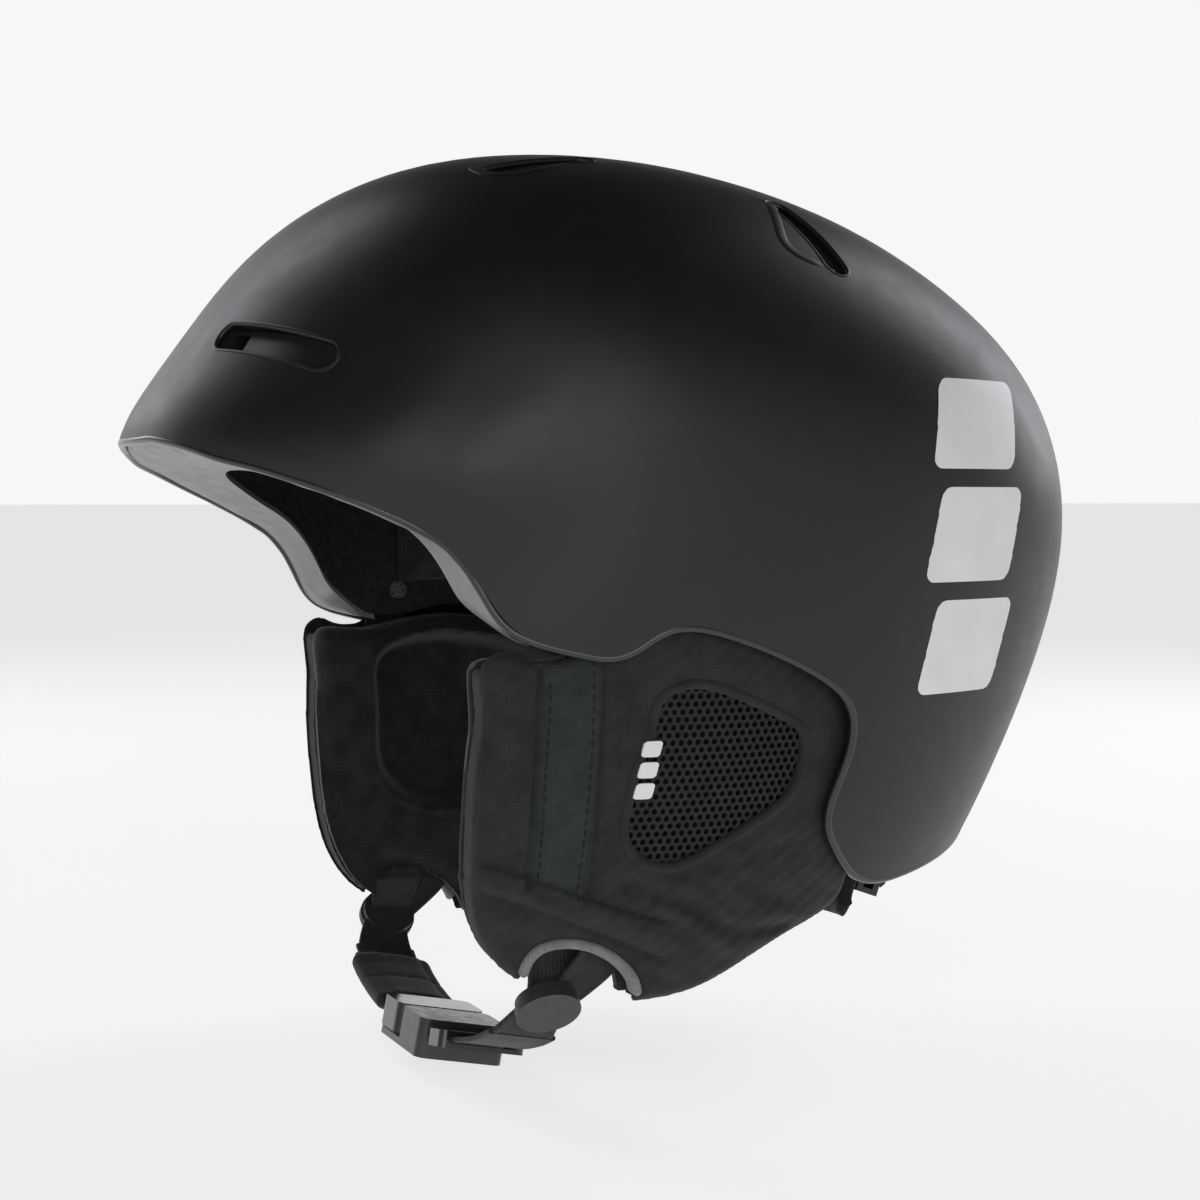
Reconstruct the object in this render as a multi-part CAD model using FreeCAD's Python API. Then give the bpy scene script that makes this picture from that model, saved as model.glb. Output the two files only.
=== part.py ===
# Snow-sport helmet, size M-L (55-58 cm head).
# Millimetres.  -Y is the front, +X the wearer's left, +Z up.
# The origin is the centre of the helmet at its widest level.
import FreeCAD, Part
import os, math

V = FreeCAD.Vector
os.makedirs("parts", exist_ok=True)

# ---------------------------------------------------------------- driving dimensions
HALF_W = 111.0          # half the shell's outer width
P_EXP = 2.245           # exponent of the superelliptic cross section
SHELL_T = 2.5           # shell thickness
BOND = 0.2              # bond gap between shell and foam
HALF_W_IN = 85.0        # half the width of the head cavity
PAD_T = 6.0             # comfort pad thickness
BAND_T = 1.6            # brow band thickness
# radius of the outer surface in the middle plane, by angle from straight up
# (positive towards the front)
KN = [-180, -150, -130, -112, -95, -78, -60, -40, -20, 0, 20, 40, 60, 76, 90, 104, 125, 150]
R_OUT = [177.8, 168.42, 153.72, 148.41, 146.91, 137.26, 118.66, 102.93, 94.87, 93.96,
         99.81, 111.02, 121.57, 131.51, 140.42, 126.32, 137.63, 155.95]
R_IN = [152.0, 144.0, 127.0, 117.0, 112.0, 105.0, 91.0, 77.0, 69.0, 68.0,
        73.0, 84.0, 96.0, 104.0, 109.0, 104.0, 108.0, 124.0]
# lower edge of the shell seen from the side: (y, z), front to back
EDGE = [(-139.9, 10.5), (-137.9, 10.9), (-133.2, 8.6), (-126.9, 5.0), (-118.2, 2.0), (-108.2, -2.1),
        (-97.7, -6.5), (-86.7, -11.7), (-76.8, -17.4), (-71.3, -23.5), (-67.5, -30.0),
        (-64.6, -35.6), (-60.6, -40.0), (-54.3, -42.9), (-46.1, -45.0)]
EAR_EDGE = [(-46.1, -45.0), (-39.0, -46.7), (-34.7, -46.9), (-30.4, -45.6), (-26.2, -42.4), (-21.8, -39.6),
            (-16.6, -38.7), (-9.6, -39.6), (-1.6, -42.0), (6.6, -44.9), (15.2, -48.5), (24.3, -52.9),
            (30.9, -57.2), (34.4, -61.3), (36.2, -66.0), (36.1, -72.2), (34.6, -78.4), (32.4, -84.5),
            (31.0, -90.7), (31.5, -95.5), (34.5, -100.0), (39.0, -105.5), (44.5, -110.6)]
REAR_EDGE = [(44.5, -110.6), (51.0, -112.9), (59.0, -113.3), (70.6, -112.0), (83.1, -110.0), (96.0, -107.5),
             (108.0, -104.0), (120.0, -100.5), (135.0, -98.0), (175.0, -95.0)]
# lower edge of the foam round the ear and the rear
FOAM_EDGE = [(-46.1, -43.0), (-36.0, -43.6), (-20.0, -41.0), (-6.0, -42.0), (12.0, -47.5), (28.0, -55.0),
             (40.0, -66.0), (47.0, -80.0), (50.0, -95.0), (51.5, -109.5), (58.0, -111.3), (70.0, -110.2), (83.0, -108.2),
             (96.0, -105.7), (108.0, -102.2), (120.0, -98.7), (135.0, -96.2), (175.0, -93.2)]
EAR_PULL = V(-0.22, 0, -0.9755)      # direction in which an ear pad pulls off (left side)
EAR_TRAVEL = 3.0
SWING_Y, SWING_Z = -42.0, -142.0     # strap swing axis, along X
OPEN_X, OPEN_Z = 65.5, -150.3        # strap opening axis in the flat frame, along the webbing's width
DIV_Y = -42.0                        # middle of the strap divider
TAU = 11.0                           # tilt of the webbing's width, front edge up
STRAP_W = 20.0
STRAP_T = 1.6
CR_Y, CR_Z = 95.0, -63.5            # cradle tilt axis, along X
DIAL_Y, DIAL_Z = 90.0, -116.0        # dial centre, on the rack plane
DIAL_B = 20.0                        # dial axis points back and this far down
WING_R = 84.0                        # radius of the rack arc
MOD = 1.25                           # rack and pinion module
NT = 9                               # pinion teeth


# ---------------------------------------------------------------- helpers
def spline_fun(kn, vals, period=None):
    """Cubic spline through (kn, vals); periodic when period is given, else natural."""
    n = len(kn)
    k = list(kn)
    v = list(vals)
    if period:
        m = n
        h = [(k[(i + 1) % n] - k[i]) % period for i in range(n)]
        # periodic system solved by dense elimination
        A = [[0.0] * n for _ in range(n)]
        b = [0.0] * n
        for i in range(n):
            hm, hi = h[i - 1], h[i]
            A[i][(i - 1) % n] += hm
            A[i][i] += 2 * (hm + hi)
            A[i][(i + 1) % n] += hi
            b[i] = 6 * ((v[(i + 1) % n] - v[i]) / hi - (v[i] - v[i - 1]) / hm)
    else:
        h = [k[i + 1] - k[i] for i in range(n - 1)]
        A = [[0.0] * n for _ in range(n)]
        b = [0.0] * n
        A[0][0] = A[n - 1][n - 1] = 1.0
        for i in range(1, n - 1):
            A[i][i - 1] = h[i - 1]
            A[i][i] = 2 * (h[i - 1] + h[i])
            A[i][i + 1] = h[i]
            b[i] = 6 * ((v[i + 1] - v[i]) / h[i] - (v[i] - v[i - 1]) / h[i - 1])
    for c in range(n):
        p = max(range(c, n), key=lambda r: abs(A[r][c]))
        A[c], A[p] = A[p], A[c]
        b[c], b[p] = b[p], b[c]
        for r in range(c + 1, n):
            f = A[r][c] / A[c][c]
            if f:
                for q in range(c, n):
                    A[r][q] -= f * A[c][q]
                b[r] -= f * b[c]
    M = [0.0] * n
    for c in range(n - 1, -1, -1):
        M[c] = (b[c] - sum(A[c][q] * M[q] for q in range(c + 1, n))) / A[c][c]

    def f(x):
        if period:
            x = (x - k[0]) % period + k[0]
            i = n - 1
            for j in range(n - 1):
                if x < k[j + 1]:
                    i = j
                    break
            x1 = k[i] + h[i]
            j = (i + 1) % n
        else:
            x = min(max(x, k[0]), k[-1])
            i = n - 2
            for j in range(n - 1):
                if x <= k[j + 1]:
                    i = j
                    break
            x1 = k[i + 1]
            j = i + 1
        a, c = x1 - x, x - k[i]
        hh = h[i]
        return (M[i] * a ** 3 + M[j] * c ** 3) / (6 * hh) + (v[i] / hh - M[i] * hh / 6) * a + (v[j] / hh - M[j] * hh / 6) * c
    return f


r_out = spline_fun(KN, R_OUT, 360)
r_in = spline_fun(KN, R_IN, 360)


def layer(t=None, grow=0.0):
    """(half width, radius function) of the surface t inside the outer one, or of the cavity grown by grow."""
    if t is not None:
        return HALF_W - t, (lambda a: r_out(a) - t)
    return HALF_W_IN + grow, (lambda a: r_in(a) + grow)


def surf_dir(lay, d):
    hw, rf = lay
    k = math.hypot(d[1], d[2])
    psi = math.degrees(math.atan2(-d[1], d[2])) if k > 1e-9 else 0.0
    q = (abs(d[0]) ** P_EXP + k ** P_EXP) ** (-1 / P_EXP)
    r = rf(psi) * k * q
    a = math.radians(psi)
    return V(hw * d[0] * q, -r * math.sin(a), r * math.cos(a))


TH_MAX, C_SQ, NU, NV = math.radians(151.0), 0.93, 29, 41


def patch(lay):
    rows = []
    for i in range(NU):
        a = C_SQ * (2 * i / (NU - 1) - 1)
        row = []
        for j in range(NV):
            b = C_SQ * (2 * j / (NV - 1) - 1)
            u = TH_MAX * a * math.sqrt(1 - b * b / 2)
            w = TH_MAX * b * math.sqrt(1 - a * a / 2)
            th = math.hypot(u, w)
            s = math.sin(th) / th if th > 1e-9 else 1.0
            row.append(surf_dir(lay, (u * s, w * s, math.cos(th))))
        rows.append(row)
    bs = Part.BSplineSurface()
    bs.interpolate(rows)
    return bs


def solid_between(s1, s2):
    f1, f2 = s1.toShape(), s2.toShape()
    faces = [f1, f2]
    u0, u1, v0, v1 = s1.bounds()
    for kind, val in (("u", u0), ("u", u1), ("v", v0), ("v", v1)):
        if kind == "u":
            c1, c2 = s1.uIso(val), s2.uIso(val)
        else:
            c1, c2 = s1.vIso(val), s2.vIso(val)
        faces.append(Part.makeRuledSurface(c1.toShape(), c2.toShape()))
    sh = Part.makeShell(faces)
    sh.sewShape()
    so = Part.makeSolid(sh)
    if so.Volume < 0:
        so.reverse()
    return so


def yz_prism(pts, x0, x1, smooth=None):
    """Closed prism along X of an outline in (y, z).  smooth: number of leading points joined by a spline."""
    vs = [V(x0, p[0], p[1]) for p in pts]
    edges = []
    n0 = 0
    if smooth:
        c = Part.BSplineCurve()
        c.interpolate(vs[:smooth])
        edges.append(c.toShape())
        n0 = smooth - 1
    for i in range(n0, len(vs) - 1):
        edges.append(Part.makeLine(vs[i], vs[i + 1]))
    edges.append(Part.makeLine(vs[-1], vs[0]))
    return Part.Face(Part.Wire(edges)).extrude(V(x1 - x0, 0, 0))


def closed_prism(pts, x0, x1):
    """Prism along X of a closed smooth outline in (y, z)."""
    c = Part.BSplineCurve()
    c.interpolate([V(x0, p[0], p[1]) for p in pts], True)
    return Part.Face(Part.Wire(c.toShape())).extrude(V(x1 - x0, 0, 0))


def poly_prism(pts, x0, x1):
    w = Part.makePolygon([V(x0, p[0], p[1]) for p in pts] + [V(x0, pts[0][0], pts[0][1])])
    return Part.Face(w).extrude(V(x1 - x0, 0, 0))


def mirror(s):
    return s.mirror(V(0, 0, 0), V(1, 0, 0))


def largest(s):
    return max(s.Solids, key=lambda q: q.Volume)


NODES = {}


def put(name, s):
    NODES[name] = s


# ---------------------------------------------------------------- shell, foam and brow band
S_OUT = patch(layer(t=0.0))
S_SH_IN = patch(layer(t=SHELL_T))
S_EPS_OUT = patch(layer(t=SHELL_T + BOND))
S_CAV = patch(layer(grow=0.0))

edge_y = [p[0] for p in EDGE]
edge_z = spline_fun(edge_y, [p[1] for p in EDGE])


def front_z(x, y, up=0.0):
    """Height of the helmet's front lower edge surface at (x, y)."""
    if y < edge_y[0]:
        z = edge_z(edge_y[0])
    elif y > edge_y[-1]:
        z = EDGE[-1][1] - (y - edge_y[-1]) * 0.05
    else:
        z = edge_z(y)
    a = math.degrees(math.atan2(-y, z)) if y else 90.0
    r = r_out(a) - 6.0
    lam = ((abs(x) / (HALF_W - 6.0)) ** P_EXP + (math.hypot(y, z) / r) ** P_EXP) ** (1 / P_EXP)
    fade = min(max((-y - 48.0) / 14.0, 0.0), 1.0)
    fade = fade * fade * (3 - 2 * fade)
    return z + up + 6.0 * fade * min(max((0.98 - lam) / 0.24, 0.0), 1.15)


def front_tool(up=0.0):
    rows = []
    for i in range(41):
        x = -132.0 + 264.0 * i / 40
        rows.append([V(x, y, front_z(x, y, up)) for y in [-172.0 + 125.9 * j / 48 for j in range(49)]])
    bs = Part.BSplineSurface()
    bs.interpolate(rows)
    return bs.toShape().extrude(V(0, 0, -330))


ear_pts = EAR_EDGE + REAR_EDGE[1:]
rear_tool = yz_prism([(p[0], p[1]) for p in ear_pts] + [(175, -330), (-46.1, -330)], -140, 140, smooth=len(ear_pts))
foam_tool = yz_prism(FOAM_EDGE + [(175, -330), (-46.1, -330)], -140, 140, smooth=len(FOAM_EDGE))
ft0 = front_tool(0.0)
ft1 = front_tool(BAND_T)
ft2 = front_tool(BAND_T + 0.15)


def stadium(cx, d, n, length, width, depth, up):
    """Slot-shaped prism: centre cx, along d, axis n (outward), from depth inside to up outside."""
    d = V(d).normalize()
    n = V(n)
    n = (n - d * n.dot(d)).normalize()
    w = n.cross(d)
    r = width / 2
    h = length / 2 - r
    p = lambda a, b: V(cx) + d * a + w * b - n * depth
    e = [Part.makeLine(p(-h, r), p(h, r)),
         Part.Arc(p(h, r), p(h + r, 0), p(h, -r)).toShape(),
         Part.makeLine(p(h, -r), p(-h, -r)),
         Part.Arc(p(-h, -r), p(-h - r, 0), p(-h, r)).toShape()]
    return Part.Face(Part.Wire(e)).extrude(n * (depth + up))


# vents on the left side: centre, direction, outward normal, length, width
VENTS = {
    "front": (V(50.5, -109.5, 34.3), V(45, 20, -8), V(0.36, -0.80, 0.48), 50.0, 9.0),
    "top": (V(46.5, -33.5, 87.0), V(-8, 34, 5.5), V(0.36, -0.16, 0.92), 38.0, 9.0),
    "rear": (V(74.0, 35.5, 68.0), V(27, 7.5, -22), V(0.62, 0.28, 0.73), 38.0, 8.0),
}


def vent_tool(k, grow=0.0, depth=45.0, up=12.0):
    c, d, n, ln, w = VENTS[k]
    t = stadium(c, d, n, ln + 2 * grow, w + 2 * grow, depth, up)
    return t


# ---------------------------------------------------------------- ear pad surfaces (left side)
def x_pad(y, z):
    """Outer face of the left ear pad."""
    x = 104.0 - 0.0023 * min(z + 38.0, 0.0) ** 2
    return x - (0.0033 if y < -5 else 0.0042) * (y + 5.0) ** 2


def x_face(y, z):
    """Inner face of the left ear pad, towards the cheek."""
    return 72.0 - 0.0009 * min(z + 45.0, 0.0) ** 2 - 0.0004 * (y + 10.0) ** 2


def yz_sheet(fun, off, ny=25, nz=27):
    rows = []
    for i in range(ny):
        y = -76.0 + 138.0 * i / (ny - 1)
        rows.append([V(fun(y, z) + off, y, z) for z in [-160.0 + 150.0 * j / (nz - 1) for j in range(nz)]])
    bs = Part.BSplineSurface()
    bs.interpolate(rows)
    return bs.toShape()


def slab(off_out, off_in, fun=x_pad):
    """Curved sheet between two offsets (mm outward) of the pad's outer face."""
    return yz_sheet(fun, off_out).extrude(V(off_in - off_out, 0, 0))


def grown(pts, d):
    """Outline moved outward by d (pts in order round the outline)."""
    n = len(pts)
    area = sum(pts[i][0] * pts[(i + 1) % n][1] - pts[(i + 1) % n][0] * pts[i][1] for i in range(n))
    sg = 1.0 if area > 0 else -1.0
    out = []
    for i in range(n):
        a, b = pts[i - 1], pts[(i + 1) % n]
        tx, ty = b[0] - a[0], b[1] - a[1]
        ln = math.hypot(tx, ty)
        out.append((pts[i][0] + sg * d * ty / ln, pts[i][1] - sg * d * tx / ln))
    return out


O_COVER = [(-64.5, -47), (-65.5, -58), (-66, -75), (-66, -92), (-65, -108), (-62.5, -119), (-57.5, -128), (-51, -134),
           (-44, -137.5), (-33, -140), (-22, -142), (-12, -142), (0, -139.5), (14, -132.5), (28, -125.5),
           (38, -121.5), (44, -117), (46, -108), (45.5, -92), (46, -76), (42, -61), (33, -49), (18, -39),
           (0, -34), (-18, -33), (-34, -35), (-41, -39), (-44, -46.5), (-49, -47.6), (-55, -46.8), (-60.5, -45.0)]
O_LINER = [(-64, -48.5), (-65, -60), (-65.3, -75), (-65.3, -92), (-64.3, -108), (-61.5, -118.5), (-56.5, -127.5),
           (-50, -133.3), (-43.5, -136.7), (-33, -139), (-22, -141), (-12, -141), (0, -138.5), (14, -131.5),
           (28, -124.6), (37, -120.8), (43, -116.5), (45, -108), (44.5, -95), (43, -84), (38, -71), (27, -59),
           (12, -51), (-6, -45.4), (-20, -44.4), (-36, -46.4), (-47, -48.2), (-55, -47.8)]
O_PLATE = [(-58, -53), (-60, -66), (-60, -100), (-57, -114), (-45, -119), (-20, -119), (0, -122), (20, -118), (36, -112),
           (40, -100), (40, -76), (34, -61), (22, -49), (8, -43), (-6, -40), (-24, -39.5), (-37, -42), (-46, -51)]
O_WINDOW = [(-22.8, -67.6), (-20.8, -58.4), (-15.4, -55.1), (-9.8, -54.7), (1.9, -58.3), (14.3, -63.6), (20.9, -68),
            (21.7, -76.3), (18.8, -84.4), (9.9, -90.8), (-1.6, -97), (-9.9, -101.2), (-16.8, -102.3), (-24, -99.2),
            (-27.8, -93), (-27.3, -84.9), (-25.7, -75.5)]
O_RECESS = [(-44, -58), (-45, -75), (-44, -95), (-36, -103), (-20, -106), (0, -106), (14, -102), (24, -92), (27, -78),
            (22, -66), (8, -57), (-12, -52), (-32, -52)]
NOTCH = [(-49.0, -152), (-49.0, -136), (-48.6, -130), (-46.6, -126.4), (-42.5, -124.9), (-37, -125), (-32, -126.6),
         (-27.9, -129), (-23.5, -132.6), (-20.5, -136.2), (-19.2, -140), (-18.6, -152)]
POCKET = [(-45, -62), (-45, -27.5), (-32.5, -21.5), (-8, -21.5), (4, -23.5), (27, -23.5), (40, -38), (48, -56),
          (52, -75), (53.5, -125), (-30, -125)]
TABS = [(-26.0, -12.0, -44.0, -25.5), (9.0, 22.0, -52.0, -28.5)]
ANCHORS = [(-36.5, -36.0), (31.0, -50.0)]

outer = solid_between(S_OUT, S_SH_IN)
outer = outer.cut(ft0).cut(rear_tool)
outer = largest(outer)
eps0 = solid_between(S_EPS_OUT, S_CAV)
band = eps0.cut(ft0).common(ft1)
band = largest(band.cut(rear_tool))
eps = largest(eps0.cut(ft2).cut(foam_tool))
# the head's way in: the cavity does not narrow below the widest level
entry = Part.Face(Part.Wire(Part.Ellipse(V(0, 0, 0), 103.0, 80.0).toShape())).extrude(V(0, 0, 190))
entry.rotate(V(0, 0, 0), V(0, 0, 1), 90)
entry.translate(V(0, 0, -210))
eps = eps.cut(entry)
pocket = slab(45, -12.6).common(poly_prism(POCKET, 60, 160))
eps = eps.cut(pocket).cut(mirror(pocket))
for k in VENTS:
    t = vent_tool(k)
    t2 = vent_tool(k, grow=0.6)
    outer = outer.cut(t).cut(mirror(t))
    eps = eps.cut(t2).cut(mirror(t2))
RIV = []
for (y, z) in ANCHORS:
    xs = x_pad(y, z)
    hole = Part.makeCylinder(3.2, 40, V(xs - 40, y, z), V(1, 0, 0))
    eps = eps.cut(hole).cut(mirror(hole))
    riv = Part.makeCylinder(3.0, 15.0, V(xs - 22.0, y, z), V(1, 0, 0)).fuse(
        Part.makeCylinder(4.5, 1.2, V(xs - 7.6, y, z), V(1, 0, 0)))
    RIV += [riv, mirror(riv)]
eps = largest(eps)
put("brow_band", band)

# ---------------------------------------------------------------- ear pads
swing_room = Part.makeCylinder(11.2, 90, V(40, SWING_Y, SWING_Z), V(1, 0, 0))
window = closed_prism(O_WINDOW, 60, 130)
notch = poly_prism(NOTCH, 40, 130)
notch_big = poly_prism(grown(NOTCH, 2.6), 40, 130)
cover = slab(0, -3.6).common(closed_prism(O_COVER, 40, 130)).cut(window).cut(notch_big).cut(swing_room)
binding = slab(0.5, -4.2).common(closed_prism(grown(O_COVER, 0.4), 40, 130)).common(
    poly_prism(grown(NOTCH, 2.5), 40, 130)).cut(notch).cut(swing_room)
grille = slab(-0.7, -2.7).common(closed_prism(grown(O_WINDOW, -0.25), 60, 130))
plate = slab(-4.3, -5.9).common(closed_prism(O_PLATE, 40, 130)).common(closed_prism(grown(O_COVER, -5.6), 30, 140))
tabs = slab(-4.3, -5.9)
tab_solids = []
for (y0, y1, z0, z1) in TABS:
    tab_solids.append(tabs.common(Part.makeBox(90, y1 - y0, z1 - z0, V(40, y0, z0))))
for t in tab_solids:
    plate = plate.fuse(t)
plate = plate.cut(Part.makeCylinder(17, 80, V(60, -4, -78), V(1, 0, 0))).removeSplitter()
liner = slab(-12.3, -60).cut(yz_sheet(x_face, 0).extrude(V(-80, 0, 0))).common(closed_prism(O_LINER, 20, 130))
liner = liner.cut(slab(-14.8, -70).common(closed_prism(O_RECESS, 20, 130))).cut(notch).cut(swing_room)
# foam rim that joins the liner to the cover round the front and the bottom
rim_o = closed_prism(grown(O_COVER, -0.5), 40, 130)
rim_i = closed_prism(grown(O_COVER, -5.0), 30, 140)
rim = slab(-4.3, -12.2).common(rim_o).cut(rim_i).cut(notch_big).cut(
    Part.makeBox(200, 200, 60, V(0, -60, -52))).cut(Part.makeBox(200, 60, 200, V(0, 36, -180)))
rim = rim.cut(Part.makeBox(100, 200, 60, V(20, -46.5, -56))).cut(swing_room)
rim_solids = [q for q in rim.Solids if q.Volume > 100]
liner_l = largest(liner)
put("ear_cover_left", largest(cover))
put("ear_binding_left", largest(binding))
put("ear_grille_left", largest(grille))
put("ear_plate_left", largest(plate))
put("ear_liner_left", liner_l)
put("ear_rim_left", Part.makeCompound(rim_solids))
sock = []
for i, (y0, y1, z0, z1) in enumerate(TABS):
    blk = slab(-2.8, -12.2).common(Part.makeBox(90, y1 - y0 + 5, 8.4, V(40, y0 - 2.5, z1 - 5.9)))
    g = slab(-3.7, -6.5).common(Part.makeBox(90, y1 - y0 + 1.4, z1 - z0 + 1.4, V(40, y0 - 0.7, z0 - 0.7)))
    for j in range(8):
        gg = g.copy()
        gg.translate(EAR_PULL * (1.2 * j))
        blk = blk.cut(gg)
    sock.append(largest(blk))
put("ear_socket_left", Part.makeCompound(sock))

# webbing legs inside the pad
leg = slab(-8.3, -9.8)
FRONT_LEG = [(-43.6, -30), (-29.5, -30), (-31.2, -131), (-46.8, -131)]
REAR_LEG = [(24.0, -44.5), (39.5, -56), (-20.5, -131), (-30.7, -131)]
fl = leg.common(poly_prism(FRONT_LEG, 40, 130)).cut(Part.makeCylinder(3.2, 40, V(80, ANCHORS[0][0], ANCHORS[0][1]), V(1, 0, 0))).cut(
    Part.makeCylinder(4.7, 3, V(x_pad(*ANCHORS[0]) - 7.7, ANCHORS[0][0], ANCHORS[0][1]), V(1, 0, 0)))
rl = leg.common(poly_prism(REAR_LEG, 40, 130)).cut(Part.makeCylinder(3.2, 40, V(70, ANCHORS[1][0], ANCHORS[1][1]), V(1, 0, 0))).cut(
    Part.makeCylinder(4.7, 3, V(x_pad(*ANCHORS[1]) - 7.7, ANCHORS[1][0], ANCHORS[1][1]), V(1, 0, 0)))
put("strap_front_leg_left", largest(fl))
put("strap_rear_leg_left", largest(rl))
put("strap_anchor_rivets", Part.makeCompound(RIV))

# ---------------------------------------------------------------- chin strap
W_DIR = V(0, math.cos(math.radians(TAU)), -math.sin(math.radians(TAU)))
ST_Y0, ST_Z0 = -47.0, -158.0


def strap_place(s):
    """From the strap's flat frame (width along Y, centred) to its place."""
    s = s.copy()
    s.translate(V(0, 0, -ST_Z0))
    s.rotate(V(0, 0, 0), V(1, 0, 0), -TAU)
    s.translate(V(0, ST_Y0, ST_Z0))
    return s


def ribbon(path, t, w, smooth=True):
    """Strip of thickness t and width w along a path in (x, z)."""
    n = len(path)
    up, dn = [], []
    for i in range(n):
        a, b = path[max(i - 1, 0)], path[min(i + 1, n - 1)]
        tx, tz = b[0] - a[0], b[1] - a[1]
        ln = math.hypot(tx, tz)
        nx, nz = -tz / ln, tx / ln
        up.append(V(path[i][0] + nx * t / 2, -w / 2, path[i][1] + nz * t / 2))
        dn.append(V(path[i][0] - nx * t / 2, -w / 2, path[i][1] - nz * t / 2))
    e = []
    for pts in (up, list(reversed(dn))):
        if smooth and n > 2:
            c = Part.BSplineCurve()
            c.interpolate(pts)
            e.append(c.toShape())
        else:
            for i in range(n - 1):
                e.append(Part.makeLine(pts[i], pts[i + 1]))
    e.insert(1, Part.makeLine(up[-1], dn[-1]))
    e.append(Part.makeLine(dn[0], up[0]))
    return Part.Face(Part.Wire(Part.__sortEdges__(e))).extrude(V(0, w, 0))


PATH_L = [(64.3, -151.4), (57.0, -154.6), (48.0, -157.4), (38.0, -159.6), (29.0, -161.0), (21.2, -161.9)]
web = ribbon(PATH_L, STRAP_T, STRAP_W)
web_r = ribbon([(-p[0] if p[0] > 25 else -17.2, p[1]) for p in PATH_L], STRAP_T, STRAP_W)
put("chin_webbing_left", strap_place(web))
put("chin_webbing_right", strap_place(web_r))
MAG_R, MAG_H = 4.0, 2.0


def rbox(x0, x1, y0, y1, z0, z1, r):
    b = Part.makeBox(x1 - x0, y1 - y0, z1 - z0, V(x0, y0, z0))
    ed = [e for e in b.Edges if abs(e.Vertexes[0].X - e.Vertexes[1].X) < 1e-6 and abs(e.Vertexes[0].Y - e.Vertexes[1].Y) < 1e-6]
    return b.makeFillet(r, ed)


base = rbox(1.2, 21.0, -13.5, 13.5, -169.0, -157.6, 3.0).fuse(rbox(-16.0, 12.0, -13.5, 13.5, -169.0, -167.0, 3.0))
base = base.removeSplitter().cut(Part.makeCylinder(MAG_R + 0.1, MAG_H + 0.2, V(11.5, 0, -164.2)))
tongue = rbox(-17.0, -0.6, -13.5, 13.5, -166.6, -157.6, 3.0)
tongue = tongue.cut(Part.makeCylinder(MAG_R + 0.1, MAG_H + 0.2, V(-8.5, 0, -165.6)))
put("buckle_base", strap_place(base))
put("buckle_tongue", strap_place(tongue))
put("buckle_magnet_left", strap_place(Part.makeCylinder(MAG_R, MAG_H, V(11.5, 0, -164.1))))
put("buckle_magnet_right", strap_place(Part.makeCylinder(MAG_R, MAG_H, V(-8.5, 0, -165.5))))
slid = rbox(-5.5, 5.5, -13.0, 13.0, -2.4, 2.4, 2.0)
slid = slid.cut(Part.makeBox(11.2, STRAP_W + 0.6, STRAP_T + 0.5, V(-5.6, -STRAP_W / 2 - 0.3, -STRAP_T / 2 - 0.25)))
slid.rotate(V(0, 0, 0), V(0, 1, 0), -8.6)
slid.translate(V(31.5, 0, -160.65))
put("strap_slider", strap_place(slid))
CP = [(-59.0, -153.9), (-50.0, -156.9), (-40.0, -159.3), (-30.0, -160.9), (-20.5, -162.0)]
cpad = ribbon(CP, 7.5, 26.0).cut(ribbon([(-66, -150.6), (-57.0, -154.6), (-48.0, -157.4), (-38.0, -159.6), (-29.0, -161.0), (-15, -162.6)],
                                        STRAP_T + 0.7, STRAP_W + 0.8))
put("chin_pad", strap_place(cpad))

ND = V(0.715, -0.06, -0.697).normalize()
DC = V(73.4, DIV_Y, -142.0)
disc = Part.makeCylinder(9.0, 2.4, DC + ND * 0.2, ND)
back = Part.makeCylinder(8.4, 2.0, DC - ND * 2.2, ND)
put("divider_disc_left", disc)
put("divider_back_left", back)

for n in list(NODES):
    if n.endswith("_left") and n not in ("chin_webbing_left", "buckle_magnet_left"):
        put(n[:-5] + "_right", mirror(NODES[n]))

# ---------------------------------------------------------------- comfort liner
lay_o = patch(layer(grow=-0.3))
lay_i = patch(layer(grow=-0.3 - PAD_T))
pad0 = solid_between(lay_o, lay_i)


def box(x0, x1, y0, y1, z0, z1):
    return Part.makeBox(x1 - x0, y1 - y0, z1 - z0, V(x0, y0, z0))


vt = [vent_tool(k, grow=2.0, depth=60) for k in VENTS]
vt += [mirror(t) for t in vt]
brow = pad0.common(box(-66, 66, -140, -40, 8, 36))
crown = pad0.common(box(-30, 30, -46, 52, 20, 120))
side = pad0.common(box(40, 120, -38.5, 34, -34, 34))
rear = pad0.common(box(-58, 58, 50, 140, -26, 34))
for t in vt:
    brow, crown, side, rear = [q.cut(t) for q in (brow, crown, side, rear)]
rear = rear.cut(Part.makeBox(200, 200, 200, V(-100, 0, -220.5)))
put("brow_pad", largest(brow))
put("crown_pad", largest(crown))
put("side_pad_left", largest(side))
put("side_pad_right", mirror(largest(side)))
put("rear_pad", largest(rear))


# ---------------------------------------------------------------- vent inserts
def insert(k, d0, d1, wall=1.3):
    c, d, n, ln, w = VENTS[k]
    body = stadium(c, d, n, ln - 0.5, w - 0.5, d1, -d0)
    hole = stadium(c, d, n, ln - 0.5 - 2 * wall, w - 0.5 - 2 * wall, d1 - 1.2, 2)
    body = body.cut(hole)
    dd = V(d).normalize()
    nn = (V(n) - dd * V(n).dot(dd)).normalize()
    m = int((ln - 8) / 4.0)
    for i in range(m):
        p = V(c) + dd * ((i - (m - 1) / 2) * 4.0) - nn * (d1 + 2)
        body = body.cut(Part.makeCylinder(1.35, 6, p, nn))
    return body


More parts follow.
